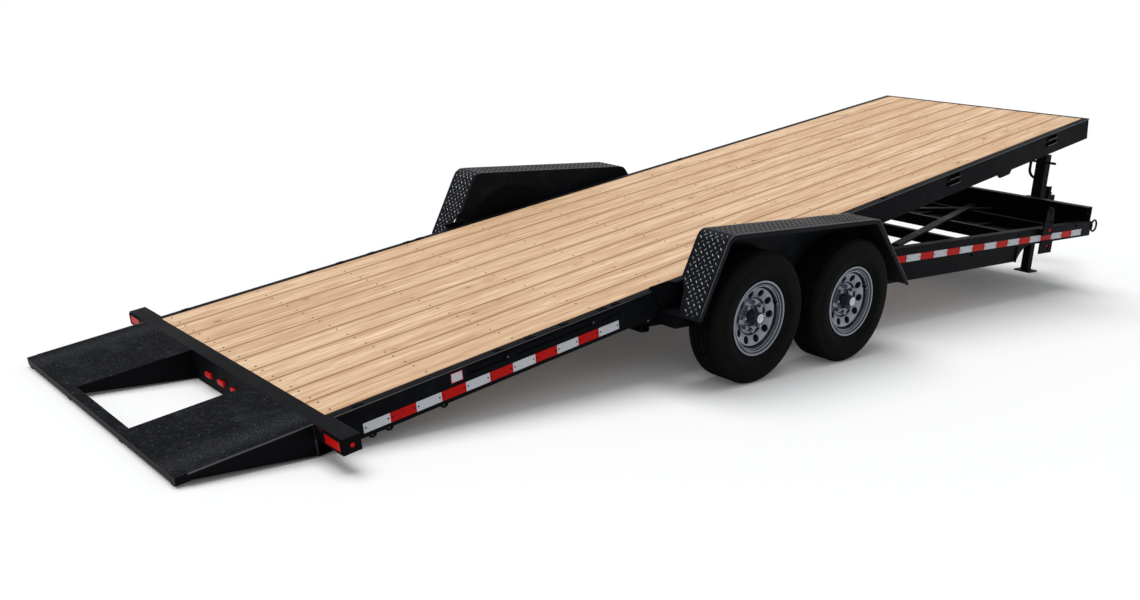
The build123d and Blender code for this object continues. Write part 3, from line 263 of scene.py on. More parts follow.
class StageSettings(bpy.types.PropertyGroup):
    focal_px: FloatProperty(
        name="Focal length", default=1157.65, min=200, max=5000, description="In pixels of a 1140 wide frame"
    )
    camera_back: length("Camera place X", -5.5709, "From the axles' middle", -20, 20)
    camera_side: length("Camera place Y", -5.2967, "From the middle plane", -20, 20)
    camera_height: length("Camera height", 2.0224, "Above the ground")
    yaw: angle("Yaw", 0.8359, "Turn from the trailer's length")
    pitch: angle("Pitch", 0.2436, "Look down")
    roll: angle("Roll", 0.0697, "Roll of the frame")


class Tree:
    """A node tree, with short ways to add nodes to it and to link them."""

    def __init__(self, tree):
        self.tree = tree

    def node(self, kind, values=(), **settings):
        node = self.tree.nodes.new(kind)
        for key, value in settings.items():
            setattr(node, key, value)
        for key, value in dict(values).items():
            if isinstance(value, bpy.types.NodeSocket):
                self.tree.links.new(value, node.inputs[key])
            else:
                node.inputs[key].default_value = value
        return node

    def maths(self, operation, *values):
        return self.node("ShaderNodeMath", enumerate(values), operation=operation).outputs[0]


class Shading(Tree):
    """One material's node tree, with object coordinates to start from."""

    def __init__(self, name, base, roughness=0.5, metallic=0.0, gloss=0.5):
        self.material = bpy.data.materials.new(LOOK + name)
        self.material.use_nodes = True
        super().__init__(self.material.node_tree)
        self.shader = self.tree.nodes["Principled BSDF"]
        self.shader.inputs["Base Color"].default_value = (*base, 1)
        self.shader.inputs["Roughness"].default_value = roughness
        self.shader.inputs["Metallic"].default_value = metallic
        self.shader.inputs["Specular IOR Level"].default_value = gloss
        self.position = self.tree.nodes.new("ShaderNodeTexCoord").outputs["Object"]

    def placed(self, scale=(1, 1, 1), turn=(0, 0, 0), vector=None):
        values = {"Vector": vector or self.position, "Scale": scale, "Rotation": turn}
        return self.node("ShaderNodeMapping", values).outputs["Vector"]

    def noise(self, scale, detail=3.0, roughness=0.5, distortion=0.0, vector=None):
        values = {"Vector": vector or self.position, "Scale": scale, "Detail": detail, "Roughness": roughness}
        return self.node("ShaderNodeTexNoise", {**values, "Distortion": distortion}).outputs["Fac"]

    def cells(self, scale, vector=None):
        values = {"Vector": vector or self.position, "Scale": scale}
        return self.node("ShaderNodeTexVoronoi", values).outputs["Distance"]

    def between(self, value, low, high, out_low=0.0, out_high=1.0):
        """Maps a stretch of a value to another, clamped at its ends."""
        values = {"Value": value, "From Min": low, "From Max": high, "To Min": out_low, "To Max": out_high}
        return self.node("ShaderNodeMapRange", values).outputs[0]

    def mixed(self, amount, first, second):
        """Mixes two colours, each a plain one or a node's output."""
        first, second = (
            shade if isinstance(shade, bpy.types.NodeSocket) else (*shade, 1) for shade in (first, second)
        )
        return self.node("ShaderNodeMix", {0: amount, 6: first, 7: second}, data_type="RGBA").outputs[2]

    def ramp(self, value, stops):
        """Maps a value to colours; each stop is a place from 0 to 1 and its colour."""
        node = self.node("ShaderNodeValToRGB", {"Fac": value})
        elements = node.color_ramp.elements
        while len(elements) < len(stops):
            elements.new(0.5)
        for element, (place, shade) in zip(elements, stops):
            element.position = place
            element.color = (*shade, 1)
        return node.outputs["Color"]

    def wire(self, name, output):
        self.tree.links.new(output, self.shader.inputs[name])

    def bump(self, height, strength, distance):
        values = {"Height": height, "Strength": strength, "Distance": distance}
        self.wire("Normal", self.node("ShaderNodeBump", values).outputs[0])


def tinted(base, factor, lift=0.0):
    return tuple(channel * factor + lift for channel in base)


def paint_finish(name, base, roughness, gloss):
    """Sprayed paint: orange peel, faint dust and a slightly uneven gloss."""
    shading = Shading(name, base, roughness, gloss=gloss)
    cloud = shading.noise(2.3, 4)
    dust = shading.between(shading.noise(9.0, 6, 0.7), 0.52, 0.8)
    dusty = tinted(base, 1.8, 0.003)
    darker = tinted(base, 0.72)
    shading.wire("Base Color", shading.mixed(dust, shading.mixed(cloud, darker, base), dusty))
    shading.wire("Roughness", shading.between(cloud, 0.2, 0.8, roughness - 0.08, roughness + 0.12))
    peel = shading.noise(420.0, 2)
    shading.bump(peel, 0.12, 0.0008)


def rubber_finish(name, base):
    """Dull rubber with paler scuffs."""
    shading = Shading(name, base, 0.72, gloss=0.04)
    scuff = shading.noise(14.0, 5, 0.65)
    paler = tinted(base, 2.6)
    shading.wire("Base Color", shading.mixed(shading.between(scuff, 0.45, 0.75), base, paler))
    shading.wire("Roughness", shading.between(scuff, 0.3, 0.7, 0.6, 0.82))
    shading.bump(shading.noise(600.0, 2), 0.25, 0.0006)


def rim_finish(name, base):
    """Silver rim: painted highlight on the flange and rings, painted shade in the grooves and the middle, a little
    dust.
    """
    shading = Shading(name, base, 0.24, 0.7)
    parts = shading.node("ShaderNodeSeparateXYZ", {"Vector": shading.position}).outputs
    ahead = shading.maths("ABSOLUTE", shading.maths("SUBTRACT", parts["X"], AXLE_X))
    ahead = shading.maths("SUBTRACT", ahead, AXLE_SPACING / 2)
    up = shading.maths("SUBTRACT", parts["Z"], WHEEL_Z)
    squares = shading.maths("ADD", shading.maths("MULTIPLY", ahead, ahead), shading.maths("MULTIPLY", up, up))
    radius = shading.maths("SQRT", squares)
    # The brightest tone is a painted highlight on the flange and rings, the darkest is painted shade in the
    # grooves and the middle
    bright, dim, painted_recess_shade = tinted(base, 1.35), tinted(base, 0.42), tinted(base, 0.10)
    # Distance from the axle in metres, and the tone there: painted shade in the recesses, painted highlight on the
    # flange and rings
    bands = (
        (0.0, painted_recess_shade), (0.062, painted_recess_shade), (0.068, base), (0.098, bright), (0.104, painted_recess_shade),
        (0.111, painted_recess_shade), (0.119, base), (0.163, bright), (0.171, bright), (0.175, painted_recess_shade),
        (0.181, painted_recess_shade), (0.184, bright), (0.190, bright), (0.1915, painted_recess_shade), (0.194, bright),
        (0.200, bright), (0.203, painted_recess_shade), (0.210, painted_recess_shade), (0.213, bright),
    )
    widest = 0.25
    stops = [(place / widest, shade) for place, shade in bands]
    tone = shading.ramp(shading.maths("DIVIDE", radius, widest), stops)
    cloud = shading.noise(6.0, 4, 0.6)
    shading.wire("Base Color", shading.mixed(shading.between(cloud, 0.3, 0.7, 0.0, 0.35), tone, dim))
    shading.wire("Roughness", shading.between(cloud, 0.25, 0.75, 0.16, 0.30))
    shading.bump(shading.noise(700.0, 2), 0.08, 0.0005)


def steel_finish(name, base):
    """Plated steel with fine streaks."""
    shading = Shading(name, base, 0.28, 0.9)
    streak = shading.noise(8.0, 4, vector=shading.placed((30, 4, 30)))
    shading.wire("Roughness", shading.between(streak, 0.3, 0.7, 0.2, 0.42))
    shading.wire("Base Color", shading.mixed(streak, tinted(base, 0.7), base))


def grip_finish(name, base):
    """Sand in black paint on the deck's plane, with pale grains and dusty scuffs; plain paint under it."""
    shading = Shading(name, base, 0.85, gloss=0.03)
    deck = shading.node("ShaderNodeSeparateXYZ", {"Vector": shading.placed(turn=(0, TILT, 0))}).outputs
    level = DECK_TIP.z * math.cos(TILT) - DECK_TIP.x * math.sin(TILT)
    top = shading.between(deck["Z"], level - 0.005, level - 0.002)
    grains = shading.noise(330.0, 3, 0.7)
    clumps = shading.noise(46.0, 4, 0.7)
    sparkle = shading.between(shading.cells(105.0), 0.10, 0.26, 1.0, 0.0)
    rare = shading.between(shading.noise(33.0, 2), 0.53, 0.58)
    edge = shading.maths("ABSOLUTE", deck["Y"])
    streak = shading.between(edge, DECK_HALF - 0.24, DECK_HALF - 0.13)
    faded = shading.between(edge, DECK_HALF - 0.10, DECK_HALF - 0.03, 1.0, 0.0)
    streak = shading.maths("MULTIPLY", streak, faded)
    flecks = shading.maths("MULTIPLY", sparkle, shading.maths("MAXIMUM", rare, streak))
    worn = shading.between(shading.noise(5.0, 6, 0.7), 0.52, 0.75)
    worn = shading.maths("MAXIMUM", worn, shading.maths("MULTIPLY", streak, 0.5))
    darker = tinted(base, 0.5)
    paler = tinted(base, 1.6)
    uneven = shading.mixed(shading.between(clumps, 0.35, 0.65), darker, paler)
    scuffed = shading.mixed(shading.maths("MULTIPLY", worn, grains), uneven, (0.05, 0.052, 0.056))
    sanded = shading.mixed(flecks, scuffed, (0.15, 0.155, 0.165))
    shading.wire("Base Color", shading.mixed(top, darker, sanded))
    rough = shading.between(grains, 0.3, 0.7, 0.7, 0.95)
    shading.wire("Roughness", shading.maths("MULTIPLY", rough, shading.between(top, 0.0, 1.0, 0.5, 1.0)))
    coarse = shading.maths("MULTIPLY", shading.maths("ADD", grains, clumps), top)
    shading.bump(coarse, 0.8, 0.0022)


def lozenge_glint_finish(name, base):
    """Lozenges of the fenders' slopes: a patchy light grey that is a painted glint."""
    shading = Shading(name, base, 0.25, 0.4)
    # The mix towards light grey is a painted glint, kept to the slopes' lozenges, not wear
    worn = shading.between(shading.noise(40.0, 4, 0.6), 0.36, 0.62)
    shading.wire("Base Color", shading.mixed(worn, tinted(base, 5), (0.36, 0.38, 0.42)))
    shading.wire("Roughness", shading.between(worn, 0.0, 1.0, 0.32, 0.18))
    shading.bump(shading.noise(500.0, 2), 0.1, 0.0005)


def wood_finish(name, light):
    """Planed pine: boards of uneven tone, long streaks, growth figure and knots along the deck."""
    finishes, pitch = bpy.context.scene.trailer_finishes, board_pitch()
    dark, knot = tuple(finishes.wood_dark), tuple(finishes.knot)
    shading = Shading(name, light, 0.62)
    along = shading.placed(turn=(0, TILT, 0))
    parts = shading.node("ShaderNodeSeparateXYZ", {"Vector": along}).outputs
    index = shading.maths("FLOOR", shading.maths("DIVIDE", parts["Y"], pitch))
    chance = shading.node("ShaderNodeTexWhiteNoise", {"W": index}, noise_dimensions="1D").outputs["Value"]
    shifted = shading.maths("MULTIPLY_ADD", chance, 37.0, parts["X"])
    board = shading.node("ShaderNodeCombineXYZ", {"X": shifted, "Y": parts["Y"], "Z": parts["Z"]}).outputs[0]

    def grain(along, across, *values):
        """Noise of one board, stretched by how many times it repeats along and across the deck."""
        return shading.noise(*values, vector=shading.placed((along, across, across), vector=board))

    streaks = grain(0.75, 15, 2.6, 7, 0.62, 0.4)
    fibres = grain(4, 160, 3.0, 4, 0.6)
    bend = grain(0.8, 3.5, 2.0, 3)
    rings = shading.maths("MULTIPLY_ADD", bend, 5.5, shading.maths("MULTIPLY", parts["Y"], 11.0))
    figure = shading.maths("PINGPONG", rings, 0.5)
    figure = shading.between(figure, 0.02, 0.42, 1.0, 0.0)
    figure = shading.maths("MULTIPLY", figure, shading.between(streaks, 0.3, 0.7, 0.25, 0.85))
    knots = shading.cells(1.0, shading.placed((2.9, 6.5, 6.5), vector=board))
    rare = shading.between(shading.noise(1.6, 1, vector=board), 0.44, 0.5)
    spot = shading.maths("MULTIPLY", shading.between(knots, 0.03, 0.09, 1.0, 0.0), rare)
    halo = shading.maths("MULTIPLY", shading.between(knots, 0.08, 0.34, 0.55, 0.0), rare)
    tone = shading.between(chance, 0.0, 1.0, 0.0, 0.6)
    pale = tuple(min(1.0, channel * 1.12 + 0.05) for channel in light)
    flame = grain(0.55, 9, 2.2, 5, 0.6, 1.2)
    light = shading.mixed(shading.between(flame, 0.48, 0.66, 0.0, 0.8), light, pale)
    mixed = shading.mixed(shading.between(streaks, 0.40, 0.70, 0.0, 0.95), light, dark)
    mixed = shading.mixed(shading.maths("MULTIPLY", figure, 0.62), mixed, dark)
    mixed = shading.mixed(shading.maths("MULTIPLY", tone, 0.45), mixed, dark)
    mixed = shading.mixed(shading.between(fibres, 0.45, 0.8, 0.0, 0.35), mixed, dark)
    band = grain(0.5, 5.5, 1.9, 3, 0.5, 0.8)
    mixed = shading.mixed(shading.between(band, 0.5, 0.68, 0.0, 0.5), mixed, dark)
    mixed = shading.mixed(halo, mixed, dark)
    mixed = shading.mixed(spot, mixed, knot)
    across = shading.maths("PINGPONG", shading.maths("DIVIDE", parts["Y"], pitch), 0.5)
    mixed = shading.mixed(shading.between(across, 0.015, 0.20, 0.62, 0.0), mixed, dark)
    mixed = shading.mixed(shading.between(across, 0.010, 0.045, 0.85, 0.0), mixed, (0.20, 0.090, 0.036))
    shading.wire("Base Color", mixed)
    shading.wire("Roughness", shading.between(streaks, 0.3, 0.7, 0.52, 0.74))
    shading.bump(shading.maths("ADD", fibres, streaks), 0.22, 0.0012)


def tape_finish(name, base):
    """Reflective tape: a fine honeycomb under a clear face."""
    shading = Shading(name, base, 0.3, gloss=0.04)
    comb = shading.cells(260.0)
    soft = shading.noise(12.0, 3)
    deeper = tinted(base, 0.72)
    shade = shading.mixed(shading.between(comb, 0.2, 0.6, 0.0, 0.6), base, deeper)
    shading.wire("Base Color", shading.mixed(shading.between(soft, 0.4, 0.7, 0.0, 0.4), shade, deeper))
    shading.bump(comb, 0.15, 0.0004)


def lens_finish(name, base):
    """Red lens with moulded ribs."""
    shading = Shading(name, base, 0.3, gloss=0.06)
    wave = {"Vector": shading.placed(), "Scale": 90.0}
    ribs = shading.node("ShaderNodeTexWave", wave, bands_direction="Z").outputs["Fac"]
    deeper = tinted(base, 0.45)
    shading.wire("Base Color", shading.mixed(ribs, deeper, base))
    shading.bump(ribs, 0.12, 0.0006)


# Each finish with its maker, the property of its colour, and what else the maker takes
MAKERS = {
    "black_paint": (paint_finish, "paint", 0.46, 0.02),
    "hub_paint": (paint_finish, "hub", 0.3, 0.4),
    "tread_plate": (paint_finish, "plate", 0.36, 0.03),
    # The edges' finish is lighter than the black paint, as a painted highlight
    "edge_highlight_paint": (paint_finish, "edge", 0.24, 0.5),
    "lozenge_painted_glint": (lozenge_glint_finish, "plate"),
    "grip_coat": (grip_finish, "grip"),
    "tyre_rubber": (rubber_finish, "rubber"),
    "silver_rim": (rim_finish, "rim"),
    "plated_rod": (steel_finish, "steel"),
    "pine_boards": (wood_finish, "wood_light"),
    "red_lens": (lens_finish, "lens"),
    "tape_red": (tape_finish, "tape_red"),
    "tape_white": (tape_finish, "tape_white"),
}


def finish_of(name):
    """Gives the scene's material for one of the record's slots or finishes, made at its first use."""
    if LOOK + name not in bpy.data.materials:
        maker, shade, *numbers = MAKERS[name]
        maker(name, tuple(getattr(bpy.context.scene.trailer_finishes, shade)), *numbers)
    return bpy.data.materials[LOOK + name]


def board_pitch():
    return 2 * WOOD_HALF / bpy.context.scene.trailer_deck.board_count


def linked(name, data):
    """Makes an object of the data, in the scene's collection."""
    made = bpy.data.objects.new(name, data)
    bpy.context.scene.collection.objects.link(made)
    return made


def meshed(name, mesh):
    """Turns a bmesh into an object."""
    data = bpy.data.meshes.new(name)
    mesh.to_mesh(data)
    mesh.free()
    return linked(name, data)


def make_piece(name, mesh, body, slot, materials=None, smooth=False, replaces=()):
    """Turns a bmesh into a finished piece that rides on a body."""
    bmesh.ops.recalc_face_normals(mesh, faces=mesh.faces)
    piece = meshed(name, mesh)
    for material in materials or [slot]:
        piece.data.materials.append(finish_of(material))
    if smooth:
        piece.data.shade_smooth()
    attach(piece, body)
    if replaces:
        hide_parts(*replaces)


def paint_faces(verts, material):
    """Gives the faces at these vertices one of their piece's materials."""
    for face in {face for vertex in verts for face in vertex.link_faces}:
        face.material_index = material


def edges_of(verts):
    """Gives the edges at these vertices, each once, in an order that is the same each run."""
    return list(dict.fromkeys(edge for vertex in verts for edge in vertex.link_edges))


def round_edges(mesh, edges, radius, segments=2):
    bmesh.ops.bevel(
        mesh, geom=edges, offset=radius, segments=segments, profile=0.5, affect="EDGES", material=-1
    )


def add_block(mesh, size, place, material=0, rounding=0.0):
    """Adds a box of that size, centred in the matrix, with its edges rounded where a radius is given."""
    made = bmesh.ops.create_cube(mesh, size=1.0, matrix=place @ Matrix.Diagonal((*size, 1)))["verts"]
    paint_faces(made, material)
    if rounding:
        round_edges(mesh, edges_of(made), rounding)


def add_cone(mesh, radius, taper, height, place, segments, material):
    """Adds a closed cone or prism that stands on the matrix's floor; taper is its end's share of the radius."""
    made = bmesh.ops.create_cone(
        mesh,
        cap_ends=True,
        segments=segments,
        radius1=radius,
        radius2=radius * taper,
        depth=height,
        matrix=place @ Matrix.Translation((0, 0, height / 2)),
    )
    paint_faces(made["verts"], material)


def add_button(mesh, radius, height, place, segments=8, material=0):
    """Adds a low round head that stands on the matrix's floor."""
    add_cone(mesh, radius, 0.7, height, place, segments, material)


def add_nut(mesh, radius, height, place, material=0):
    """Adds a hexagon nut with a domed end that stands on the matrix's floor."""
    hexagon = height * 0.62
    add_cone(mesh, radius, 1.0, hexagon, place, 6, material)
    dome = place @ Matrix.Translation((0, 0, hexagon))
    add_button(mesh, radius * 0.82, height - hexagon, dome, 12, material)


def add_rim(mesh, size, bar, place, material=0):
    """Adds four bars round an opening of that length and height; size's middle number is their depth."""
    long, deep, high = size
    for end in (-1, 1):
        upright = Matrix.Translation((end * (long + bar) / 2, 0, 0))
        add_block(mesh, (bar, deep, high + 2 * bar), place @ upright, material)
        level = Matrix.Translation((0, 0, end * (high + bar) / 2))
        add_block(mesh, (long, deep, bar), place @ level, material)


def ring_edges(ring):
    return [edge for edge in edges_of(ring) if all(vertex in ring for vertex in edge.verts)]


def add_bead(mesh, points, radius, segments=6, material=0):
    """Adds a round bead through the points, closed at its ends."""
    points = [Vector(point) for point in points]
    rings = []
    for index, point in enumerate(points):
        before, after = points[max(index - 1, 0)], points[min(index + 1, len(points) - 1)]
        turn = (after - before).to_track_quat("Z", "Y").to_matrix().to_4x4()
        made = bmesh.ops.create_circle(
            mesh,
            cap_ends=index in (0, len(points) - 1),
            segments=segments,
            radius=radius,
            matrix=Matrix.Translation(point) @ turn,
        )
        rings.append(made["verts"])
    for first, second in zip(rings, rings[1:]):
        bmesh.ops.bridge_loops(mesh, edges=ring_edges(first) + ring_edges(second))
    paint_faces([vertex for ring in rings for vertex in ring], material)


def facing(side):
    """Turn that stands a thing's local Z outward, to the trailer's left or right."""
    return Matrix.Rotation(-side * math.pi / 2, 4, "X")


def on_frame(ahead, out, height, side):
    """Matrix of a place beside the frame, metres ahead of the axles, whose local Z points outward."""
    return Matrix.Translation((AXLE_X + ahead, side * out, height)) @ facing(side)


def spoke(turn, radius):
    """Step from a wheel's axle to a place round it."""
    return Vector((math.cos(turn), 0, math.sin(turn))) * radius


def add_deck_bead(mesh, places, radius, segments=6, material=0):
    """Adds a bead through places on the deck, each of them (run, side, rise)."""
    points = [deck_place(*place).to_translation() for place in places]
    add_bead(mesh, points, radius, segments, material)


def spun(profile, place, steps, closed=True):
    """Spins a section of (out, radius) points about the wheel's axle, the matrix's local Y."""
    mesh = bmesh.new()
    points = [mesh.verts.new((0, out, radius)) for out, radius in profile]
    pairs = list(zip(points, points[1:])) + ([(points[-1], points[0])] if closed else [])
    edges = [mesh.edges.new(pair) for pair in pairs]
    bmesh.ops.spin(
        mesh,
        geom=points + edges,
        axis=(0, 1, 0),
        cent=(0, 0, 0),
        angle=2 * math.pi,
        steps=steps,
        use_merge=True,
    )
    bmesh.ops.remove_doubles(mesh, verts=mesh.verts, dist=1e-6)
    bmesh.ops.recalc_face_normals(mesh, faces=mesh.faces)
    bmesh.ops.transform(mesh, matrix=place, verts=mesh.verts)
    return mesh


class TRAILER_OT_boards(bpy.types.Operator):
    """Lay the deck's boards with rounded edges, and their screws"""

    bl_idname = "trailer.boards"
    bl_label = "Boards"

    def execute(self, context):
        sizes = context.scene.trailer_deck
        pitch = board_pitch()
        thickness = sizes.board_thickness
        mesh = bmesh.new()
        for index in range(sizes.board_count):
            side = (index + 0.5) * pitch - WOOD_HALF
            place = deck_place((WOOD_START + WOOD_END) / 2, side, -thickness / 2)
            add_block(mesh, (WOOD_END - WOOD_START, pitch - sizes.board_gap, thickness), place)
        long_edges = [
            edge
            for edge in mesh.edges
            if edge.calc_length() > 1 and (deck_place().inverted() @ edge.verts[0].co).z > -0.01
        ]
        round_edges(mesh, long_edges, sizes.board_round, 3)
        make_piece("deck_planks", mesh, "deck", "pine_boards", replaces=["deck_boards"])

        mesh = bmesh.new()
        first = WOOD_START + sizes.screw_end
        gap = (WOOD_END - WOOD_START - 2 * sizes.screw_end) / (sizes.screw_rows - 1)
        for row in range(sizes.screw_rows):
            for index in range(sizes.board_count):
                for edge in (-1, 1):
                    side = (index + 0.5) * pitch - WOOD_HALF + edge * (pitch / 2 - sizes.screw_inset)
                    add_button(mesh, sizes.screw_radius, 0.001, deck_place(first + row * gap, side, 0.0))
        make_piece("deck_screws", mesh, "deck", "black_paint")
        return {"FINISHED"}


class TRAILER_OT_tape(bpy.types.Operator):
    """Stick the reflective tape with its rivets along the deck and the frame, and a blank plate"""

    bl_idname = "trailer.tape"
    bl_label = "Reflective tape"

    def strip(self, name, body, place, sizes, piece, count, side, first):
        mesh = bmesh.new()
        for index in range(count):
            middle = place @ Matrix.Translation(((index + 0.5) * piece, side * sizes.thickness / 2, 0))
            add_block(mesh, (piece, sizes.thickness, sizes.height), middle, (index + first) % 2)
            for end in (0.08, 0.92):
                spot = Matrix.Translation(((index + end) * piece, side * sizes.thickness, 0))
                add_button(mesh, sizes.rivet_radius, 0.002, place @ spot @ facing(side), material=2)
        make_piece(name, mesh, body, "black_paint", ["tape_white", "tape_red", "black_paint"])

    def plate(self, sizes):
        """Blank white plate with a thin red edge, on the right-hand rail."""
        middle = sizes.plate_start + sizes.plate_length / 2
        thickness, edge, edge_rise = 0.0016, 0.003, 0.0006
        place = deck_place(middle, -DECK_HALF - thickness / 2, -sizes.plate_drop)
        mesh = bmesh.new()
        add_block(mesh, (sizes.plate_length, thickness, sizes.plate_height), place)
        inner = (sizes.plate_length - 2 * edge, thickness + edge_rise, sizes.plate_height - 2 * edge)
        add_rim(mesh, inner, edge, place, 1)
        make_piece("blank_plate", mesh, "deck", "black_paint", ["tape_white", "tape_red"])

    def execute(self, context):
        sizes = context.scene.trailer_tape
        for name, side in SIDES:
            deck = deck_place(sizes.deck_start, side * DECK_HALF, -sizes.deck_drop)
            self.strip(f"deck_tape_{name}", "deck", deck, sizes, sizes.deck_piece, sizes.deck_count, side, 0)
            low = Matrix.Translation((AXLE_X + sizes.frame_start, side * RAIL_FACE, sizes.frame_height))
            self.strip(f"frame_tape_{name}", "root", low, sizes, sizes.frame_piece, sizes.frame_count, side, 1)
        self.plate(sizes)
        return {"FINISHED"}


class TRAILER_OT_tyres(bpy.types.Operator):
    """Mould the tyres with ribs, zigzag grooves and stepped sidewalls"""

    bl_idname = "trailer.tyres"
    bl_label = "Tyres"

    def section(self, sizes, outer, half, bead, bead_half):
        """Section of a tyre from one bead over the tread to the other."""
        ribs, tread = 5, 0.168
        rib = (tread - (ribs - 1) * sizes.groove_width) / ribs
        # Distance out from the tyre's middle plane, radius
        wall = [
            (bead_half, bead),
            (bead_half + 0.001, bead + 0.020),
            (bead_half + 0.012, bead + 0.038),
            (half - 0.008, bead + 0.060),
            (half - 0.004, bead + 0.064),
            (half - 0.001, bead + 0.086),
            (half - 0.003, bead + 0.112),
            (half - 0.006, bead + 0.116),
            (half - 0.008, bead + 0.140),
            (half - 0.013, bead + 0.160),
            (half - 0.020, bead + 0.174),
            (tread / 2 + 0.006, outer - 0.004),
        ]
        top = []
        for index in range(ribs):
            start = tread / 2 - index * (rib + sizes.groove_width)
            top += [(start, outer), (start - rib, outer)]
            if index < ribs - 1:
                top += [
                    (start - rib - 0.001, outer - sizes.groove_depth),
                    (start - rib - sizes.groove_width + 0.001, outer - sizes.groove_depth),
                ]
        return wall + top + [(-out, radius) for out, radius in reversed(wall)]

    def notch(self, mesh, sizes, outer):
        """Sinks every other face of the shoulders between sidewall and tread."""
        chosen = []
        for face in mesh.faces:
            middle = face.calc_center_median()
            radius = math.hypot(middle.x, middle.z)
            step = math.floor(math.atan2(middle.z, middle.x) / (2 * math.pi) * sizes.steps)
            in_shoulder = outer - 0.011 < radius < outer - 0.003 and 0.088 < abs(middle.y) < 0.1
            if in_shoulder and step % 2:
                chosen.append(face)
        bmesh.ops.inset_individual(mesh, faces=chosen, thickness=0.0018, depth=-sizes.notch_depth)

    def execute(self, context):
        sizes = context.scene.trailer_tyres
        for name, centre in WHEELS.items():
            node = name.replace("wheel_", "tyre_")
            low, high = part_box(node)
            half = (high[1] - low[1]) / 2
            rim_low, rim_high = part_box(name.replace("wheel_", "rim_"))
            flange = (rim_high[2] - rim_low[2]) / 2
            bead_half = (rim_high[1] - rim_low[1]) / 2 - 0.0085
            outer = (high[2] - low[2]) / 2
            profile = self.section(sizes, outer, half, flange - 0.017, bead_half)
            mesh = spun(profile, Matrix.Identity(4), sizes.steps)
            for vertex in mesh.verts:
                radius = math.hypot(vertex.co.x, vertex.co.z)
                if radius > outer - sizes.groove_depth - 0.001 and abs(vertex.co.y) < 0.075:
                    step = round(math.atan2(vertex.co.z, vertex.co.x) / (2 * math.pi) * sizes.steps)
                    vertex.co.y += sizes.zigzag * (1 if step % 4 < 2 else -1)
            self.notch(mesh, sizes, outer)
            bmesh.ops.translate(mesh, verts=mesh.verts, vec=centre)
            make_piece(f"{node}_moulded", mesh, name, "tyre_rubber", replaces=[node])
        return {"FINISHED"}


class TRAILER_OT_wheel_trim(bpy.types.Operator):
    """Fit the grease caps, the stud ends in the wheel nuts and the valve stems"""

    bl_idname = "trailer.wheel_trim"
    bl_label = "Wheel trim"

    def cap(self, name, centre, side, sizes):
        """Bright cap on the end of the hub's barrel."""
        low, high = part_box(name.replace("wheel_", "hub_"))
        end = high[1] if side > 0 else low[1]
        radius = sizes.cap_radius
        # Distance out from the hub's end, radius
        profile = [
            (-0.012, 0.0),
            (-0.012, radius),
            (-0.001, radius),
            (0.0015, radius - 0.003),
            (0.0025, radius * 0.62),
            (0.001, radius * 0.55),
            (0.0005, 0.0),
        ]
        flipped = [(side * out, reach) for out, reach in profile]
        mesh = spun(flipped, Matrix.Translation((centre.x, end, centre.z)), 48, closed=False)
        make_piece(name.replace("wheel_", "grease_cap_"), mesh, name, "plated_rod", smooth=True)

    def studs(self, name, centre, side, sizes):
        """Stud ends of one wheel, and its valve stem with a bright cap."""
        out = Vector((0, side, 0))
        mesh = bmesh.new()
        for index in range(sizes.nut_count):
            turn = 2 * math.pi * index / sizes.nut_count
            seat = centre + spoke(turn, sizes.nut_circle) + out * sizes.nut_seat
            add_button(mesh, sizes.stud_radius, sizes.stud_height, Matrix.Translation(seat) @ facing(side), 12)
        # The valve: how far out it starts, its stem and its cap, and the share by which it leans to the axle
        start, stem, cap, lean = 0.045, 0.038, 0.009, 0.03
        reach = spoke(math.pi / 8, sizes.valve_circle)
        foot = centre + reach + out * start
        tip = foot + out * stem - reach * lean
        add_bead(mesh, [foot, (foot + tip) / 2, tip], sizes.valve_radius, 10, 1)
        add_bead(mesh, [tip, tip + out * cap], sizes.valve_radius * 0.7, 10, 0)
        finishes = ["plated_rod", "tyre_rubber"]
        make_piece(name.replace("wheel_", "wheel_studs_"), mesh, name, "plated_rod", finishes)

    def execute(self, context):
        sizes = context.scene.trailer_wheels
        for name, centre in WHEELS.items():
            side = 1 if centre.y > 0 else -1
            self.cap(name, centre, side, sizes)
            self.studs(name, centre, side, sizes)
        return {"FINISHED"}


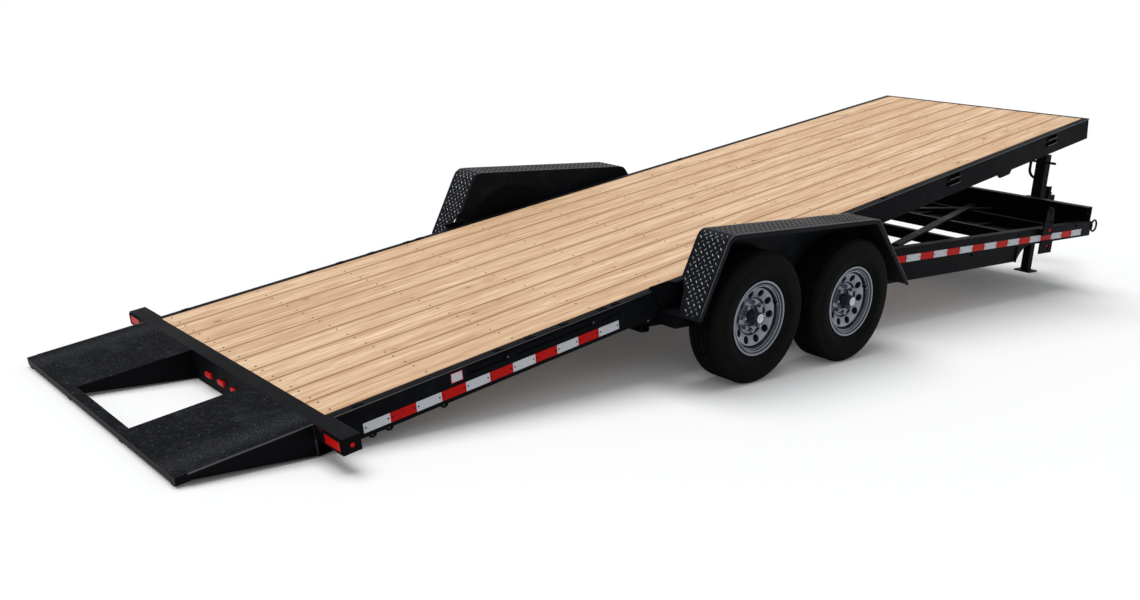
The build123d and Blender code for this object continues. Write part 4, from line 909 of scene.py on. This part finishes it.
class TRAILER_OT_plates(bpy.types.Operator):
    """Raise the lozenges of the fenders' tread plate, and fit the edge beads of the fenders and the dark skirts
    that put shade behind the arches
    """

    bl_idname = "trailer.plates"
    bl_label = "Tread plate"

    def path(self, sizes, low, high):
        """Corner points of the fender's top, rear foot to front foot, as (x, z)."""
        return [
            (low[0], low[2]),
            (low[0] + sizes.rear_run, high[2]),
            (high[0] - sizes.front_run, high[2]),
            (high[0], low[2]),
        ]

    def stations(self, sizes, points):
        """Places along the plate with their tangent, every half pitch, with the corners rounded."""
        legs = []
        for start, end in zip(points, points[1:]):
            start, end = Vector(start), Vector(end)
            legs.append((start, end, (end - start).normalized(), (end - start).length))
        trims = [0.0]
        for leg, following in zip(legs, legs[1:]):
            turn = leg[2].angle(following[2])
            trims.append(sizes.corner * math.tan(turn / 2))
        trims.append(0.0)
        found = []
        for index, (start, end, direction, reach) in enumerate(legs):
            first, last = trims[index], reach - trims[index + 1]
            steps = int((last - first) / (sizes.pitch / 2))
            for step in range(1, steps):
                found.append((start + direction * (first + step * (last - first) / steps), direction))
            if index + 1 < len(legs):
                following = legs[index + 1][2]
                turn = direction.angle(following)
                inward = Vector((direction.y, -direction.x))
                centre = start + direction * last + inward * sizes.corner
                count = max(1, int(sizes.corner * turn / (sizes.pitch / 2)))
                for step in range(count + 1):
                    spin = Matrix.Rotation(-turn * step / count, 2)
                    found.append((centre - (spin @ inward) * sizes.corner, spin @ direction))
        return found

    def notched(self, sizes, low, high, point, side):
        """Whether a place lies over the notch in the rear slope's inner edge, or too near to it."""
        height = point.y - low[2]
        if point.x > low[0] + sizes.rear_run or height > sizes.notch_height:
            return False
        inward = min(abs(low[1]), abs(high[1]))
        reach = sizes.notch_width * (1 - (height / sizes.notch_height) ** 2)
        return abs(side) - inward < reach + sizes.lozenge / 2

    def lozenges(self, name, sizes, low, high, stations):
        mesh = bmesh.new()
        margin = 0.01
        width = high[1] - low[1] - 2 * margin
        columns = int(width / (sizes.pitch / 2))
        form = Matrix.Diagonal((sizes.lozenge, sizes.lozenge_width, sizes.rise, 1))
        for row, (point, direction) in enumerate(stations):
            normal = Vector((-direction.y, 0, direction.x))
            tangent = Vector((direction.x, 0, direction.y))
            turn = Matrix((tangent, normal.cross(tangent), normal)).transposed().to_4x4()
            for column in range(1, columns):
                side = low[1] + margin + column * width / columns
                if (row + column) % 2 or self.notched(sizes, low, high, point, side):
                    continue
                slant = Matrix.Rotation(math.radians(45 if row % 2 else -45), 4, "Z")
                spot = Matrix.Translation((point.x, side, point.y)) @ turn @ slant @ form
                made = bmesh.ops.create_cone(
                    mesh, cap_ends=True, segments=4, radius1=0.5, radius2=0.22, depth=2.0, matrix=spot
                )
                # Lozenges on the slopes take the lighter finish, a painted glint; those on the top keep the
                # plate's paint
                if abs(direction.y) >= 0.5:
                    paint_faces(made["verts"], 1)
        make_piece(f"fender_lozenges_{name}", mesh, "root", "tread_plate", ["tread_plate", "lozenge_painted_glint"])

    def skirts(self, name, sizes, low, high, side):
        """Rubber skirts behind the arches, dark sheets that stand in for the shade between tyre and fender: a lip
        on the inner side plate and a web down behind the tyre.
        """
        inner = min(abs(low[1]), abs(high[1]))
        mesh = bmesh.new()
        for wheel, centre in WHEELS.items():
            if not wheel.endswith(name):
                continue
            arch = centre.z + 0.012
            # Distance out from the middle, radius about the wheel
            section = [
                (inner - 0.009, arch - 0.078),
                (inner - 0.006, arch - 0.078),
                (inner - 0.006, arch - 0.001),
                (inner + 0.0005, arch - 0.001),
                (inner + 0.0005, arch + 0.015),
                (inner - 0.009, arch + 0.015),
            ]
            start = Matrix.Rotation(-sizes.skirt_angle / 2, 3, "Y")
            points = [start @ Vector((0, side * out, radius)) for out, radius in section]
            verts = [mesh.verts.new(point + Vector((centre.x, 0, centre.z))) for point in points]
            face = mesh.faces.new(verts)
            bmesh.ops.spin(
                mesh,
                geom=[face] + list(face.edges) + verts,
                axis=(0, 1, 0),
                cent=(centre.x, 0, centre.z),
                angle=sizes.skirt_angle,
                steps=40,
            )
        # The skirts are dark sheets of painted shade in the gap between tyre and fender
        make_piece(f"fender_skirts_{name}", mesh, "root", "black_paint", ["tyre_rubber"])

    def beads(self, name, sizes, outer, side, stations):
        """Bead round the plate's outer edge."""
        outer = side * (outer - 0.0005)
        mesh = bmesh.new()
        add_bead(mesh, [(point.x, outer, point.y) for point, _ in stations[::2]], sizes.bead)
        make_piece(f"fender_bead_{name}", mesh, "root", "tread_plate", ["edge_highlight_paint"], smooth=True)

    def execute(self, context):
        sizes = context.scene.trailer_plates
        for name, side in SIDES:
            low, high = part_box(f"fender_{name}")
            stations = self.stations(sizes, self.path(sizes, low, high))
            self.lozenges(name, sizes, low, high, stations)
            self.skirts(name, sizes, low, high, side)
            self.beads(name, sizes, max(abs(low[1]), abs(high[1])), side, stations)
        return {"FINISHED"}


class TRAILER_OT_deck_fittings(bpy.types.Operator):
    """Fit the clips, tracks with sliders, slot lips, edge beads and hooks of the deck's rails"""

    bl_idname = "trailer.deck_fittings"
    bl_label = "Deck fittings"

    def clip(self, mesh, sizes, run, side):
        """Low block with a round head on the rail."""
        out, sunk = side * (DECK_HALF - 0.020), 0.006
        place = deck_place(run, out, sizes.clip_height / 2 - sunk)
        add_block(mesh, (sizes.clip_length, 0.030, sizes.clip_height), place, rounding=0.003)
        add_button(mesh, 0.006, 0.004, deck_place(run, out, sizes.clip_height - sunk))

    def track(self, mesh, sizes, side):
        """Long frame of four bars on the rail, with two sliders in it."""
        middle = (sizes.track_start + sizes.track_end) / 2
        reach = sizes.track_end - sizes.track_start
        place = deck_place(middle, side * (DECK_HALF + 0.004), -sizes.track_drop)
        add_rim(mesh, (reach, 0.008, sizes.track_height - 0.010), 0.005, place)
        for run in SLIDER_RUNS:
            slider = deck_place(run, side * (DECK_HALF + 0.005), -sizes.track_drop)
            add_block(mesh, (0.075, 0.010, sizes.track_height - 0.014), slider, rounding=0.0025)
            head = deck_place(run - 0.022, side * (DECK_HALF + 0.010), -sizes.track_drop)
            add_nut(mesh, 0.007, 0.007, head @ facing(side), 2)

    def slots(self, mesh, sizes, side):
        """Round beads along the lower edges of the rail's slots."""
        half_height, half_length, steps = 0.016, 0.070, 4
        out = side * (DECK_HALF - 0.001)
        for behind in SLOT_BEHINDS:
            runs = [LIP_LINE - behind + step * half_length / steps for step in range(-steps, steps + 1)]
            for depth in SLOT_DEPTHS:
                add_deck_bead(mesh, [(run, out, -depth - half_height) for run in runs], sizes.rolled, 6, 2)

    def edge(self, mesh, sizes, side):
        """Thin rolled edge along the rail's upper outer corner."""
        out, rise = side * (DECK_HALF - 0.001), -0.0065
        ends = (WOOD_START + 0.004, WOOD_END + 0.045)
        add_deck_bead(mesh, [(run, out, rise) for run in ends], sizes.rolled, 6, 2)

    def hook(self, mesh, run, side):
        """Half ring under the rail's lower edge."""
        half_length, drop, depth, steps = 0.020, 0.158, 0.024, 8
        out = side * (DECK_HALF - 0.012)
        turns = [math.pi * step / steps for step in range(steps + 1)]
        places = [(run + half_length * math.cos(turn), out, -drop - depth * math.sin(turn)) for turn in turns]
        add_deck_bead(mesh, places, 0.006, 8)

    def execute(self, context):
        sizes = context.scene.trailer_fittings
        for name, side in SIDES:
            mesh = bmesh.new()
            for run in CLIP_RUNS:
                self.clip(mesh, sizes, run, side)
            self.track(mesh, sizes, side)
            self.edge(mesh, sizes, side)
            self.slots(mesh, sizes, side)
            for run in HOOK_RUNS:
                self.hook(mesh, run, side)
            finishes = ["black_paint", "tyre_rubber", "edge_highlight_paint"]
            make_piece(f"deck_fittings_{name}", mesh, "deck", "black_paint", finishes)
        return {"FINISHED"}


class TRAILER_OT_lamp_trim(bpy.types.Operator):
    """Fit the rubber rims and covers of the tail lamps and the rings of the side markers"""

    bl_idname = "trailer.lamp_trim"
    bl_label = "Lamp trim"

    def execute(self, context):
        sizes = context.scene.trailer_fittings
        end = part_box("deck_rear_beam")[1][1]
        height, middle = LAMP_HIGH - LAMP_LOW, (LAMP_LOW + LAMP_HIGH) / 2
        outer = end - 0.008
        for name, side in SIDES:
            mesh = bmesh.new()
            cover = deck_place(LAMP_FACE - 0.0025, side * (LAMP_INNER + sizes.lamp_cover / 2), middle)
            add_block(mesh, (0.007, sizes.lamp_cover, height), cover, rounding=0.002)
            screw = cover @ Matrix.Translation((-0.0035, 0, 0)) @ Matrix.Rotation(-math.pi / 2, 4, "Y")
            add_nut(mesh, 0.005, 0.003, screw)
            lens = deck_place(LAMP_FACE - 0.003, side * (LAMP_INNER + sizes.lamp_cover + outer) / 2, middle)
            across = lens @ Matrix.Rotation(math.pi / 2, 4, "Z")
            long = outer - LAMP_INNER - sizes.lamp_cover - sizes.lamp_rim
            add_rim(mesh, (long, 0.006, height - 2 * sizes.lamp_rim), sizes.lamp_rim, across)
            marker = deck_place(LAMP_FACE + 0.0475, side * end, -0.040)
            add_button(mesh, 0.021, 0.003, marker @ facing(side), 24)
            make_piece(f"lamp_trim_{name}", mesh, "deck", "black_paint", ["tyre_rubber"])
        return {"FINISHED"}


class TRAILER_OT_frame_fittings(bpy.types.Operator):
    """Fit the bolts, the flat patches and the small red buttons of the frame"""

    bl_idname = "trailer.frame_fittings"
    bl_label = "Frame fittings"

    def execute(self, context):
        sizes = context.scene.trailer_fittings
        washer, patch, patch_height = 0.002, 0.004, 0.022
        for name, side in SIDES:
            mesh = bmesh.new()
            for first, last, height in PATCHES:
                place = (AXLE_X + (first + last) / 2, side * (RAIL_FACE + patch / 2), height)
                size = (last - first, patch, patch_height)
                add_block(mesh, size, Matrix.Translation(place), rounding=0.0015)
            for ahead, out, height, share in BOLTS:
                radius = sizes.bolt * share
                spot = on_frame(ahead, out, height, side)
                add_button(mesh, radius * 1.6, washer, spot, 16)
                add_nut(mesh, radius, 0.009, spot @ Matrix.Translation((0, 0, washer)))
            for ahead, out, height, radius, rise in BUTTONS:
                add_button(mesh, radius, rise, on_frame(ahead, out, height, side), 16, 1)
            make_piece(f"frame_fittings_{name}", mesh, "root", "black_paint", ["black_paint", "red_lens"])
        return {"FINISHED"}


class TRAILER_OT_ramp_lips(bpy.types.Operator):
    """Fit the thin lips along the outer sides of the approach"""

    bl_idname = "trailer.ramp_lips"
    bl_label = "Ramp lips"

    def execute(self, context):
        sizes = context.scene.trailer_fittings
        for name, side in SIDES:
            low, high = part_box(f"approach_ramp_{name}")
            face = max(abs(low[1]), abs(high[1]))
            start, end, bar = 0.056, LAMP_FACE, 0.006
            middle = (start + end) / 2
            shift = deck_place(rise=-0.004, side=side * (face + sizes.lip / 2))
            mesh = bmesh.new()
            add_block(mesh, (end - start, sizes.lip, bar), shift @ Matrix.Translation((middle, 0, 0)))
            slope = math.atan2(RAMP_DEPTH - RAMP_NOSE, end - start)
            reach = math.hypot(RAMP_DEPTH - RAMP_NOSE, end - start)
            low_middle = Matrix.Translation((middle, 0, -(RAMP_DEPTH + RAMP_NOSE) / 2 + 0.008))
            along = low_middle @ Matrix.Rotation(slope, 4, "Y")
            add_block(mesh, (reach - 2 * bar, sizes.lip, bar), shift @ along)
            upright = Matrix.Translation((end - 0.004, 0, -RAMP_DEPTH / 2 + bar / 2))
            add_block(mesh, (bar, sizes.lip, RAMP_DEPTH - 2 * bar), shift @ upright)
            make_piece(f"ramp_lips_{name}", mesh, "deck", "black_paint", ["edge_highlight_paint"])
        return {"FINISHED"}


class TRAILER_OT_finishes(bpy.types.Operator):
    """Give every part of the frame its material"""

    bl_idname = "trailer.finishes"
    bl_label = "Finishes"

    def execute(self, context):
        for part in frame["record"]["subparts"]:
            data = frame["nodes"][part["node"]].data
            data.materials.clear()
            slot = "grip_coat" if part["node"] == "approach_tip_bar" else part["material_slot"]
            data.materials.append(finish_of(slot))
        return {"FINISHED"}


class TRAILER_OT_stage(bpy.types.Operator):
    """Set the floor, the lamps, the world and the camera"""

    bl_idname = "trailer.stage"
    bl_label = "Stage"

    def floor(self):
        mesh = bmesh.new()
        bmesh.ops.create_grid(mesh, x_segments=1, y_segments=1, size=60)
        piece = meshed("floor", mesh)
        piece.location.z = -0.001
        shading = Shading("floor", (0.94, 0.94, 0.94), 0.95, gloss=0.0)
        shading.shader.inputs["Emission Color"].default_value = (1, 1, 1, 1)
        path = shading.node("ShaderNodeLightPath").outputs["Is Camera Ray"]
        shading.wire("Emission Strength", shading.maths("MULTIPLY", path, 0.05))
        piece.data.materials.append(shading.material)

    def sun(self, name, aim, spread, power):
        """Adds a broad soft sun that shines along the aim."""
        data = bpy.data.lights.new(name, "SUN")
        data.energy = power
        data.angle = math.radians(spread)
        linked(name, data).rotation_euler = Vector(aim).to_track_quat("-Z", "Y").to_euler()

    def world(self):
        """White where the camera or a reflection sees it, dimmer and bluish as light."""
        world = bpy.data.worlds.new("studio")
        bpy.context.scene.world = world
        world.use_nodes = True
        world.node_tree.nodes.clear()
        tree = Tree(world.node_tree)
        path = tree.node("ShaderNodeLightPath").outputs
        seen = tree.maths("MAXIMUM", path["Is Camera Ray"], path["Is Transmission Ray"])
        seen = tree.maths("MAXIMUM", seen, path["Is Glossy Ray"])
        bright = tree.node("ShaderNodeBackground", {"Color": (1, 1, 1, 1)}).outputs[0]
        ambient = tree.node("ShaderNodeBackground", {"Color": (0.95, 0.975, 1, 1), "Strength": 0.34}).outputs[0]
        mix = tree.node("ShaderNodeMixShader", {0: seen, 1: ambient, 2: bright}).outputs[0]
        tree.node("ShaderNodeOutputWorld", {"Surface": mix})

    def camera(self, settings):
        data = bpy.data.cameras.new("camera")
        data.sensor_width = 36.0
        data.lens = settings.focal_px / FRAME_WIDTH * data.sensor_width
        data.clip_end = 200
        camera = linked("camera", data)
        yaw, pitch, roll = settings.yaw, settings.pitch, settings.roll
        ahead = Vector((math.cos(yaw) * math.cos(pitch), math.sin(yaw) * math.cos(pitch), -math.sin(pitch)))
        right = Vector((math.sin(yaw), -math.cos(yaw), 0))
        up = right.cross(ahead)
        rolled_right = right * math.cos(roll) + up * math.sin(roll)
        rolled_up = up * math.cos(roll) - right * math.sin(roll)
        turn = Matrix((rolled_right, rolled_up, -ahead)).transposed().to_4x4()
        place = Vector((AXLE_X + settings.camera_back, settings.camera_side, settings.camera_height))
        camera.matrix_world = Matrix.Translation(place) @ turn
        bpy.context.scene.camera = camera

    def execute(self, context):
        self.floor()
        self.sun("key", (0.12, -0.22, -1.0), 50, 2.05)
        self.sun("fill", (0.75, 0.55, -0.55), 40, 0.35)
        self.world()
        self.camera(context.scene.trailer_stage)
        context.scene.view_settings.view_transform = "Standard"
        return {"FINISHED"}


GROUPS = {
    "trailer_deck": DeckSizes,
    "trailer_tape": TapeSizes,
    "trailer_tyres": TyreSizes,
    "trailer_wheels": WheelSizes,
    "trailer_plates": PlateSizes,
    "trailer_fittings": FittingSizes,
    "trailer_finishes": Finishes,
    "trailer_stage": StageSettings,
}
OPERATORS = (
    TRAILER_OT_finishes,
    TRAILER_OT_boards,
    TRAILER_OT_tape,
    TRAILER_OT_tyres,
    TRAILER_OT_wheel_trim,
    TRAILER_OT_plates,
    TRAILER_OT_deck_fittings,
    TRAILER_OT_lamp_trim,
    TRAILER_OT_frame_fittings,
    TRAILER_OT_ramp_lips,
    TRAILER_OT_stage,
)


class TRAILER_PT_panel(bpy.types.Panel):
    """List the trailer's sizes and the steps that dress it"""

    bl_idname = "TRAILER_PT_panel"
    bl_label = "Tilt Deck Trailer"
    bl_space_type = "VIEW_3D"
    bl_region_type = "UI"
    bl_category = "Trailer"

    def draw(self, context):
        for name, group in GROUPS.items():
            box = self.layout.box()
            box.label(text=group.__name__)
            for key in group.__annotations__:
                box.prop(getattr(context.scene, name), key)
        for operator in OPERATORS:
            self.layout.operator(operator.bl_idname)


def register():
    for name, group in GROUPS.items():
        bpy.utils.register_class(group)
        setattr(bpy.types.Scene, name, PointerProperty(type=group))
    for operator in OPERATORS:
        bpy.utils.register_class(operator)
    bpy.utils.register_class(TRAILER_PT_panel)


def unregister():
    bpy.utils.unregister_class(TRAILER_PT_panel)
    for operator in reversed(OPERATORS):
        bpy.utils.unregister_class(operator)
    for name, group in reversed(GROUPS.items()):
        delattr(bpy.types.Scene, name)
        bpy.utils.unregister_class(group)


def main():
    register()
    for operator in OPERATORS:
        group, step = operator.bl_idname.split(".")
        getattr(getattr(bpy.ops, group), step)()


if __name__ == "__main__":
    main()
